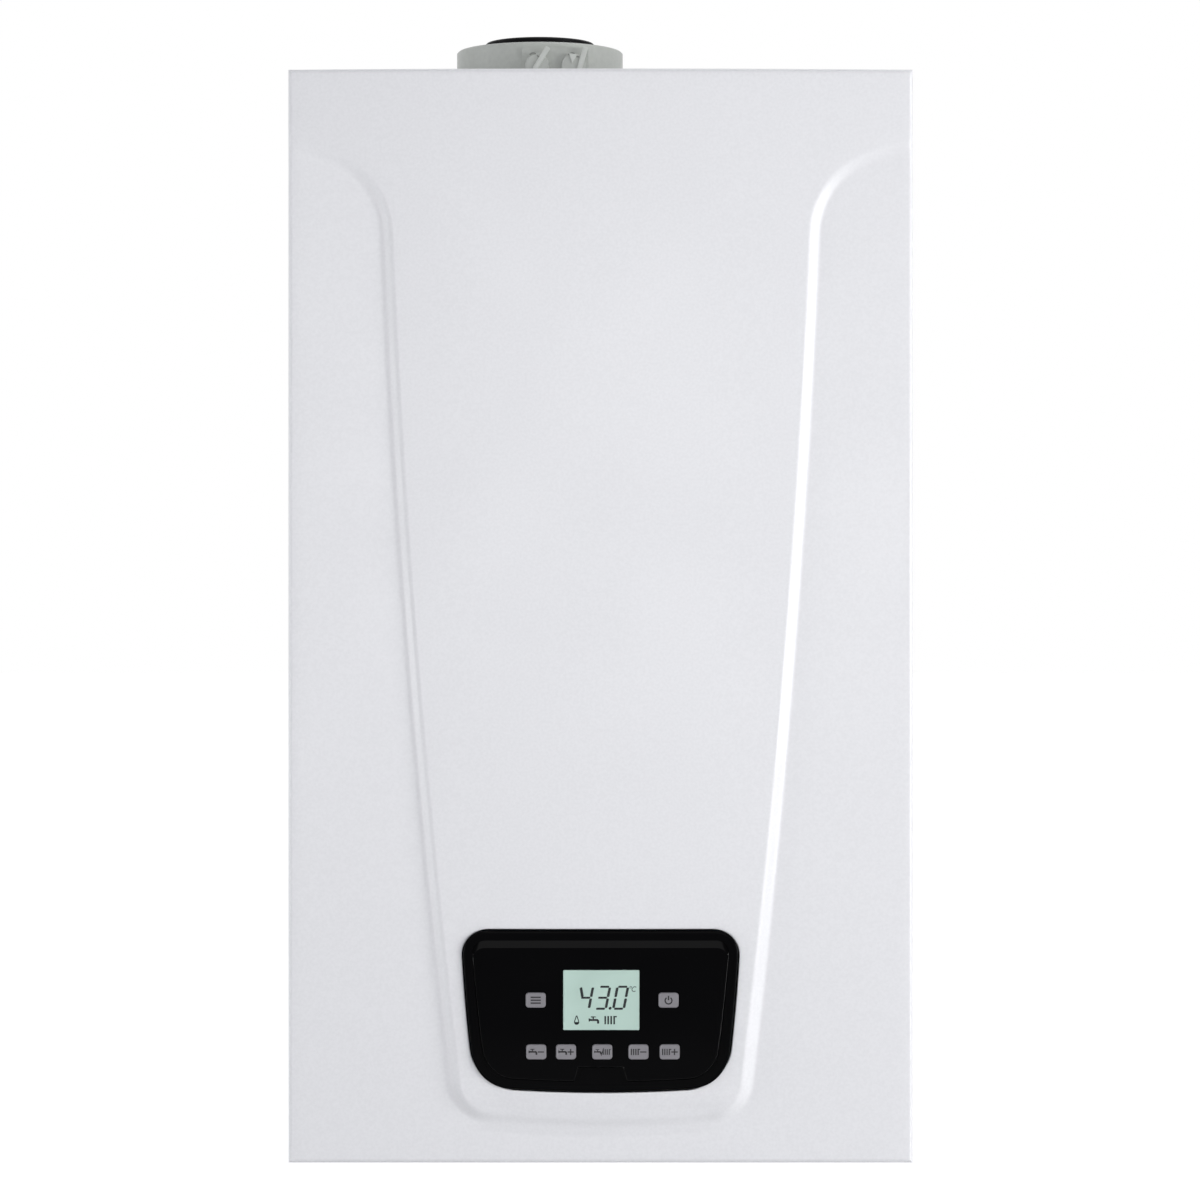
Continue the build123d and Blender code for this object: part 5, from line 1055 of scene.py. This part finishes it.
@dataclass
class ControlFascia:
    """What the user sees: bevelled inner plate, display with its figures, and seven keys."""

    plate_inset: float = 6.15
    plate_back: float = 297.8
    plate_front: float = 298.85
    plate_bevel: float = 0.7
    plate_ring: float = 0.8         # flat ring inside the bevel, which alone is to shade round
    plate_crease: float = 20.0
    cut_steepness: float = 0.9      # part of the bevel that is diamond-cut, by its lean
    cut_skin: float = 0.04
    band_height: float = 3.6        # wide bevel along the top of the plate
    band_start: float = 124.0
    hole_gap: float = 0.2
    display: Pane = Pane((0.4, 105.2), (48.7, 38.3), 0.8)
    display_back: float = 294.8
    display_sink: float = 0.1       # glass behind the plate's face
    display_chamfer: float = 0.25
    figure_low: float = 99.7
    figure_height: float = 14.0
    figure_width: float = 6.7
    figure_bar: float = 1.35
    figure_slope: float = 0.19
    upright: float = 1.25           # width of upright bars, and the two below, as shares of a bar
    bar_gap: float = 0.35
    bar_point: float = 0.3
    sign_level: float = 92.4
    unit_level: float = 112.6
    key_size: Point = (12.8, 9.6)
    key_corner: float = 2.0
    key_front: float = 299.8
    key_edge: tuple[Point, ...] = (  # inset and drop round the face; the last is the dished face
        (0.0, 0.55), (0.22, 0.12), (0.5, 0.0), (0.75, 0.02), (1.05, 0.16),
    )
    key_flange: float = 1.4
    key_flange_front: float = 294.6
    key_flange_sheet: float = 1.2
    key_stem: float = 2.0
    key_stem_back: float = 282.3
    key_stem_sink: float = 0.5      # stem's front behind the flange's
    key_stem_segments: int = 20
    key_crease: float = 24.0
    print_rise: float = 0.03
    ink_sheet: float = 0.04

    def key_pane(self, name: str) -> Pane:
        """A key's outline."""
        return Pane(KEY_PLACES[name], self.key_size, self.key_corner)

    def holes(self, bm: BMesh, depth: float) -> list[BMEdge]:
        """Draws the outlines of the display and the keys.

        Args:
            bm: the form that takes them.
            depth: where they lie.

        Returns:
            Their edges.
        """
        panes = [self.display, *map(self.key_pane, KEY_PLACES)]
        return [edge for pane in panes for edge in pane.edges(bm, self.hole_gap, depth)]

    def plate(self) -> None:
        """Makes the inner plate with its side bevel, its wide top bevel and its notch."""
        bm = bmesh.new()
        form = FasciaForm()
        back = form.edges(bm, -self.plate_inset, self.plate_back, notch=True)
        side = form.edges(bm, -self.plate_inset, self.plate_front - self.plate_bevel, notch=True)
        bmesh.ops.bridge_loops(bm, edges=back + side)
        inner = -self.plate_inset - self.plate_bevel
        brow, flat = (
            form.edges(bm, inner - ring, self.plate_front, notch=True)
            for ring in (0.0, self.plate_ring)
        )
        for loop in (brow, flat):
            top = max(v.co.y for e in loop for v in e.verts)
            for vert in {v for e in loop for v in e.verts}:
                vert.co.y -= self.band_height * eased(vert.co.y, self.band_start, top)
        bevel = bmesh.ops.bridge_loops(bm, edges=side + brow)["faces"]
        self.cut_edge(bm, bevel)
        bmesh.ops.bridge_loops(bm, edges=brow + flat)
        holes = self.holes(bm, self.plate_front)
        bmesh.ops.triangle_fill(
            bm, use_beauty=True, use_dissolve=False, edges=flat + holes, normal=(0, 0, 1)
        )
        verts, _ = extend(bm, holes)
        bmesh.ops.translate(bm, vec=(0, 0, self.plate_back - self.plate_front), verts=verts)
        make_piece(
            bm, "fascia_inner_plate", BLACK_GLOSS, "control_box", ["fascia_plate"],
            crease=self.plate_crease,
        )

    def cut_edge(self, bm: BMesh, bevel: Sequence[BMFace]) -> None:
        """Lays the diamond-cut skin on the steep part of the plate's bevel.

        Args:
            bm: the plate, whose bevel is copied.
            bevel: faces of the bevel.
        """
        bm.normal_update()
        bm.faces.index_update()
        steep = {face.index for face in bevel if abs(face.normal.z) < self.cut_steepness}
        skin = bm.copy()
        skin.faces.index_update()
        rest = [face for face in skin.faces if face.index not in steep]
        bmesh.ops.delete(skin, geom=rest, context="FACES")
        skin.normal_update()
        outwards = {v: v.normal * math.copysign(self.cut_skin, v.normal.z) for v in skin.verts}
        bmesh.ops.extrude_face_region(skin, geom=skin.faces[:], use_keep_orig=True)
        for vert, way in outwards.items():
            vert.co += way
        make_piece(
            skin, "fascia_cut_edge", BLACK_CUT_EDGE, "control_box", crease=self.plate_crease
        )

    def window(self) -> None:
        """Makes the display's glass, the figures and the signs on it."""
        face = self.plate_front - self.display_sink
        bm = self.display.block((
            (0.0, self.display_back), (0.0, face - self.display_chamfer),
            (-self.display_chamfer, face),
        ))
        make_piece(bm, "display_glass", LCD_GLASS, "control_box", ["display_window"])
        self.figures(face + self.print_rise)

    def figures(self, level: float) -> None:
        """Draws the temperature in seven-segment figures, its unit and the signs below it.

        Args:
            level: depth of the figures' face.
        """
        bar, low = self.figure_bar, self.figure_low
        drawing = Drawing(level, self.print_rise)
        for x, lit in READING:
            for name in lit:
                start, end = (
                    Vector((x + self.figure_width * u, low + self.figure_height / 2 * v))
                    for u, v in SEGMENTS[name]
                )
                short = (end - start).normalized() * (bar * self.bar_gap)
                width = bar if name in LEVEL_SEGMENTS else bar * self.upright
                drawing.bar(tuple(start + short), tuple(end - short), width, bar * self.bar_point)
        drawing.disc(*READING_POINT)
        drawing.lean(self.figure_slope, low)
        for symbol, x, size in DISPLAY_SIGNS:
            drawing.sign(symbol, (x, self.sign_level), size)
        make_piece(drawing.solid(), "display_figures", LCD_SEGMENT, "control_box")
        unit = Drawing(level, self.print_rise)
        for arc in DEGREES_CELSIUS:
            unit.arc(*arc)
        unit.lean(self.figure_slope, self.unit_level)
        make_piece(unit.solid(), "display_unit", LCD_FAINT, "control_box")

    def key(self, name: str, symbols: Sequence[tuple[Symbol, float, float]]) -> None:
        """Makes a key with chamfer, dished face, retaining flange and stem, and its printed sign.

        Args:
            name: the key's CAD node and body.
            symbols: each sign, its offset from the key's middle and its height.
        """
        x, height = KEY_PLACES[name]
        flange, back = self.key_flange_front, self.key_stem_back
        bm = self.key_pane(name).block((
            (self.key_flange, flange - self.key_flange_sheet), (self.key_flange, flange),
            (0.0, flange), *((-inset, self.key_front - drop) for inset, drop in self.key_edge),
        ))
        stem = flange - self.key_stem_sink
        bmesh.ops.create_cone(
            bm, cap_ends=True, segments=self.key_stem_segments, radius1=self.key_stem,
            radius2=self.key_stem, depth=stem - back,
            matrix=Matrix.Translation((x, height, (stem + back) / 2)),
        )
        make_piece(bm, f"{name}_cap", KEY_GREY, name, [name], crease=self.key_crease)
        face = self.key_front - self.key_edge[-1][1]
        ink = Drawing(face + self.print_rise, self.ink_sheet)
        for symbol, offset, size in symbols:
            ink.sign(symbol, (x + offset, height), size)
        make_piece(ink.solid(), f"{name}_sign", KEY_INK, name)

    def build(self) -> None:
        """Makes the plate, the display and the keys."""
        self.plate()
        self.window()
        for name, symbols in KEY_SIGNS.items():
            self.key(name, symbols)


# Each segment's ends, in figure widths and half heights; h is the slanting left side of a 4.
SEGMENTS: dict[str, tuple[Point, Point]] = {
    "a": ((0, 2), (1, 2)), "b": ((1, 1), (1, 2)), "c": ((1, 0), (1, 1)), "d": ((0, 0), (1, 0)),
    "e": ((0, 0), (0, 1)), "f": ((0, 1), (0, 2)), "g": ((0, 1), (1, 1)),
    "h": ((0.2, 1), (-0.17, 2)),
}
LEVEL_SEGMENTS = "adg"
# Left side and lit segments of each figure, then the place and radius of the decimal point.
READING = ((-14.2, "bchg"), (-3.4, "abcdg"), (8.1, "abcdef"))
READING_POINT = ((6.0, 100.0), 0.95)
DISPLAY_SIGNS = ((Symbol.DROP, -15.3, 5.8), (Symbol.TAP, -4.1, 5.2), (Symbol.RADIATOR, 6.1, 5.3))
DEGREES_CELSIUS = (
    Arc((19.0, 113.4), 0.55, 0.35, 0, 360, 16), Arc((21.6, 112.2), 1.5, 0.5, 50, 260, 20),
)
KEY_PLACES: dict[str, Point] = {
    "button_menu": (-41.4, 105.2),
    "button_power": (43.3, 105.2),
    "button_water_down": (-41.1, 72.2),
    "button_water_up": (-22.1, 72.2),
    "button_mode": (1.0, 72.2),
    "button_heating_down": (24.1, 72.2),
    "button_heating_up": (44.0, 72.2),
}
KEY_SIGNS: dict[str, list[tuple[Symbol, float, float]]] = {
    "button_menu": [(Symbol.MENU, 0.0, 5.4)],
    "button_power": [(Symbol.POWER, 0.0, 5.4)],
    "button_water_down": [(Symbol.TAP, -1.9, 4.3), (Symbol.MINUS, 3.0, 4.0)],
    "button_water_up": [(Symbol.TAP, -1.9, 4.3), (Symbol.PLUS, 3.0, 4.0)],
    "button_mode": [
        (Symbol.TAP, -2.6, 3.7), (Symbol.SLASH, 0.15, 4.4), (Symbol.RADIATOR, 2.8, 3.6),
    ],
    "button_heating_down": [(Symbol.RADIATOR, -2.1, 4.0), (Symbol.MINUS, 3.1, 4.0)],
    "button_heating_up": [(Symbol.RADIATOR, -2.1, 4.0), (Symbol.PLUS, 3.1, 4.0)],
}


# ---- Flue adapter and gauge ----

@dataclass
class SamplingStraps:
    """Slanting straps over the sampling caps on the adapter's boss, and the caps' finger lips in
    painted shade.
    """

    cap_front: float = 211.0
    rise: float = 1.4               # straps stand out this far
    sink: float = 0.2               # and start this far inside the cap
    width: float = 3.4
    point: float = 0.5
    edge: float = 0.4               # radius of the straps' front edges
    crease: float = 40.0
    straps: tuple[tuple[Point, Point], ...] = (
        ((-43.6, 711.0), (-34.6, 725.4)), ((-14.6, 709.0), (-9.9, 725.4)),
    )
    tab: tuple[Point, ...] = ((-21.0, 721.4), (-15.2, 720.6), (-18.8, 714.6))
    lips: tuple[float, ...] = (-43.2, -17.6)
    lip_height: float = 719.0
    lip_rise: float = 0.4
    lip_arcs: tuple[Arc, ...] = (   # round each lip's middle
        Arc((-1.3, 0.0), 2.6, 0.9, 150, -100, 10), Arc((2.86, 1.6), 1.56, 0.8, 200, 90, 6),
    )

    def build(self) -> None:
        """Makes the straps, the pulling tab and the lips."""
        straps = Drawing(self.cap_front + self.rise, self.rise + self.sink)
        for start, end in self.straps:
            straps.bar(start, end, self.width, self.point)
        straps.polygon(self.tab)
        bm = straps.solid()
        halfway = self.cap_front + self.rise / 2
        top = [e for e in bm.edges if all(v.co.z > halfway for v in e.verts)]
        bmesh.ops.bevel(
            bm, geom=top, offset=self.edge, offset_type="OFFSET", affect="EDGES", segments=2,
            profile=0.5, material=-1,
        )
        make_piece(bm, "sampling_straps", FLUE_PALE, "case", crease=self.crease)
        # the lips are drawn in painted shade: a darker grey for the shade of their undercuts
        lips = Drawing(self.cap_front + self.lip_rise, self.lip_rise + self.sink)
        for x in self.lips:
            for (right, up), *shape in self.lip_arcs:
                lips.arc((x + right, self.lip_height + up), *shape)
        make_piece(lips.solid(), "sampling_cap_lips_painted_shade", FLUE_SHADOW, "case")


@dataclass
class GaugeDial:
    """Dial in the recess of the pressure gauge, printed with a plain scale in bar, facing down."""

    centre: Point = (-97.5, 165.0)
    radius: float = 18.3
    pivot: float = 1.3
    steps: int = 72
    level: float = -6.0             # height of the recess's floor, as drawn from underneath
    sheet: float = 0.25
    print_height: float = 0.03
    start: float = 180.0            # where the needle rests
    sweep: float = -240.0
    ticks_per_bar: int = 5
    long_tick: Point = (0.76, 0.6)  # inner end, as a share of the radius, and width
    short_tick: Point = (0.84, 0.35)
    ring: float = 0.93              # outer end of the ticks and the line through them
    ring_line: float = 0.3
    ring_steps: int = 60
    figures: tuple[Symbol, ...] = (Symbol.ZERO, Symbol.ONE, Symbol.TWO, Symbol.THREE, Symbol.FOUR)
    figure_place: float = 0.6
    figure_size: float = 3.4

    def place(self, share: float, out: float) -> Point:
        """Point on the dial: share along its scale, and distance out as a share of the radius."""
        angle = math.radians(self.start + self.sweep * share)
        reach = self.radius * out
        return self.centre[0] + math.cos(angle) * reach, self.centre[1] + math.sin(angle) * reach

    def build(self) -> None:
        """Makes the dial and its print."""
        front = self.level + self.sheet
        plate = Drawing(front, self.sheet)
        width = self.radius - self.pivot
        plate.arc(self.centre, (self.radius + self.pivot) / 2, width, 0, 360, self.steps)
        make_piece(plate.solid(), "gauge_dial", DIAL_WHITE, "case", view=UNDERNEATH)
        ink = Drawing(front + self.print_height, self.print_height)
        bars = len(self.figures) - 1
        count = bars * self.ticks_per_bar
        for tick in range(count + 1):
            inner, width = self.short_tick if tick % self.ticks_per_bar else self.long_tick
            share = tick / count
            ink.bar(self.place(share, inner), self.place(share, self.ring), width)
        ring = self.radius * self.ring
        ink.arc(self.centre, ring, self.ring_line, self.start, self.sweep, self.ring_steps)
        for bar, figure in enumerate(self.figures):
            ink.sign(figure, self.place(bar / bars, self.figure_place), self.figure_size)
        make_piece(ink.solid(), "gauge_scale", DIAL_INK, "case", view=UNDERNEATH)


# ---- Studio ----

@dataclass(frozen=True)
class Lamp:
    """A soft rectangular lamp: where it hangs and its size, in metres, and its power in watts."""

    name: str
    place: tuple[float, float, float]
    size: Point
    power: float


@dataclass
class Studio:
    """Camera of the photograph, pale floor, white surroundings and soft lamps."""

    camera_place: tuple[float, float, float] = (-0.0004, -2.79, -0.2796)
    lens: float = 117.17
    sensor: float = 36.0
    floor_level: float = -0.9
    floor_size: float = 60.0
    floor_tones: tuple[str, str] = ("e8e8e8", "e4e4e4")
    floor_mottle: float = 6.0
    ambient: float = 0.42
    ambient_tint: str = "f6f8ff"
    glow_near: float = 0.45         # what the camera sees on top of the floor's light
    glow_far: float = 0.75
    glow_span: Point = (1.2, 2.0)   # distances from the boiler, in metres
    aim: tuple[float, float, float] = (0.0, -0.25, -0.28)
    lamps: tuple[Lamp, ...] = (
        Lamp("right_lamp", (2.6, -1.85, -0.45), (1.8, 1.8), 73.0),
        Lamp("left_lamp", (-2.8, -0.75, -0.5), (1.3, 1.6), 29.0),
        Lamp("front_lamp", (0.0, -3.3, -0.12), (1.2, 0.8), 10.0),
        Lamp("top_lamp", (0.3, 0.5, 2.2), (1.5, 1.0), 10.0),
    )

    def camera(self) -> None:
        """Sets the camera level with the middle of the boiler, straight in front."""
        data = bpy.data.cameras.new("camera")
        data.lens = self.lens
        data.sensor_width = self.sensor
        camera = bpy.data.objects.new("camera", data)
        camera.location = self.camera_place
        camera.rotation_euler = (QUARTER, 0, 0)
        bpy.context.scene.collection.objects.link(camera)
        bpy.context.scene.camera = camera

    def hang(self, lamp: Lamp) -> None:
        """Hangs a lamp that points at the boiler.

        Args:
            lamp: which one.
        """
        data = bpy.data.lights.new(lamp.name, "AREA")
        data.shape = "RECTANGLE"
        data.size, data.size_y = lamp.size
        data.energy = lamp.power
        light = bpy.data.objects.new(lamp.name, data)
        light.location = lamp.place
        way = Vector(self.aim) - Vector(lamp.place)
        light.rotation_euler = way.to_track_quat("-Z", "Y").to_euler()
        bpy.context.scene.collection.objects.link(light)

    def surroundings(self) -> None:
        """Lights the world softly, and shows it pure white to the camera and in reflections."""
        world = bpy.data.worlds.new("studio")
        bpy.context.scene.world = world
        world.use_nodes = True
        tree = world.node_tree
        tree.nodes.clear()
        path = add_node(tree, "ShaderNodeLightPath")
        seen = self.seen(tree, path)
        soft, white = (
            add_node(tree, "ShaderNodeBackground", {"Color": linear(tint), "Strength": strength})
            for tint, strength in ((self.ambient_tint, self.ambient), ("ffffff", 1.0))
        )
        mixed = add_node(tree, "ShaderNodeMixShader", {
            0: seen, 1: soft.outputs[0], 2: white.outputs[0],
        })
        add_node(tree, "ShaderNodeOutputWorld", {"Surface": mixed.outputs[0]})

    def seen(self, tree: bpy.types.NodeTree, path: bpy.types.Node) -> bpy.types.NodeSocket:
        """Tells rays that show the background from rays that carry its light.

        Args:
            tree: node tree that takes the nodes.
            path: its Light Path node.

        Returns:
            Socket that is 1 for camera, glossy and transmission rays.
        """
        both = add_node(tree, "ShaderNodeMath", {
            0: path.outputs["Is Camera Ray"], 1: path.outputs["Is Glossy Ray"],
        }, operation="MAXIMUM")
        every = add_node(tree, "ShaderNodeMath", {
            0: both.outputs[0], 1: path.outputs["Is Transmission Ray"],
        }, operation="MAXIMUM")
        return every.outputs[0]

    def floor(self) -> None:
        """Lays a pale painted floor that is white where it is lit and keeps the boiler's shadow."""
        bm = bmesh.new()
        bmesh.ops.create_grid(bm, x_segments=4, y_segments=4, size=self.floor_size / 2)
        mesh = bpy.data.meshes.new("studio_floor")
        bm.to_mesh(mesh)
        bm.free()
        mesh.transform(Matrix.Translation((0, 0, self.floor_level)))
        material = bpy.data.materials.new("painted_studio_floor")
        material.use_nodes = True
        tree = material.node_tree
        tree.nodes.clear()
        path = add_node(tree, "ShaderNodeLightPath")
        place = add_node(tree, "ShaderNodeTexCoord").outputs["Object"]
        mottle = add_node(tree, "ShaderNodeTexNoise", {
            "Vector": place, "Scale": self.floor_mottle, "Detail": 2.0,
        })
        light, dark = map(linear, self.floor_tones)
        tone = add_node(
            tree, "ShaderNodeMix", {"Factor": mottle.outputs[0], 6: light, 7: dark},
            data_type="RGBA",
        )
        paint = add_node(tree, "ShaderNodeBsdfDiffuse", {"Color": tone.outputs[2]})
        span = add_node(tree, "ShaderNodeVectorMath", {0: place}, operation="LENGTH")
        near, far = self.glow_span
        strength = add_node(tree, "ShaderNodeMapRange", {
            "Value": span.outputs["Value"], "From Min": near, "From Max": far,
            "To Min": self.glow_near, "To Max": self.glow_far,
        })
        white = add_node(tree, "ShaderNodeEmission", {
            "Color": linear("ffffff"), "Strength": strength.outputs[0],
        })
        glow = add_node(tree, "ShaderNodeAddShader", {0: paint.outputs[0], 1: white.outputs[0]})
        shown = add_node(tree, "ShaderNodeMixShader", {
            0: self.seen(tree, path), 1: paint.outputs[0], 2: glow.outputs[0],
        })
        add_node(tree, "ShaderNodeOutputMaterial", {"Surface": shown.outputs[0]})
        mesh.materials.append(material)
        floor = bpy.data.objects.new("studio_floor", mesh)
        bpy.context.scene.collection.objects.link(floor)

    def build(self) -> None:
        """Sets up camera, surroundings, floor and lamps."""
        bpy.context.scene.view_settings.view_transform = "Standard"
        self.camera()
        self.surroundings()
        self.floor()
        for lamp in self.lamps:
            self.hang(lamp)


def dress_nodes() -> None:
    """Gives every CAD node the material of its slot."""
    for finish, names in NODE_FINISHES.items():
        for name in names:
            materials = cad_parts[name].data.materials
            materials.clear()
            materials.append(finish.material())
        log.info("%s: %s", finish.name, ", ".join(names))


def main() -> None:
    """Dresses the frame and builds the sub-assemblies and the studio, in order."""
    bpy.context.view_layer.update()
    dress_nodes()
    FrontCover().build()
    ControlFascia().build()
    SamplingStraps().build()
    GaugeDial().build()
    Studio().build()
    bpy.context.view_layer.update()


if __name__ == "__main__":
    main()
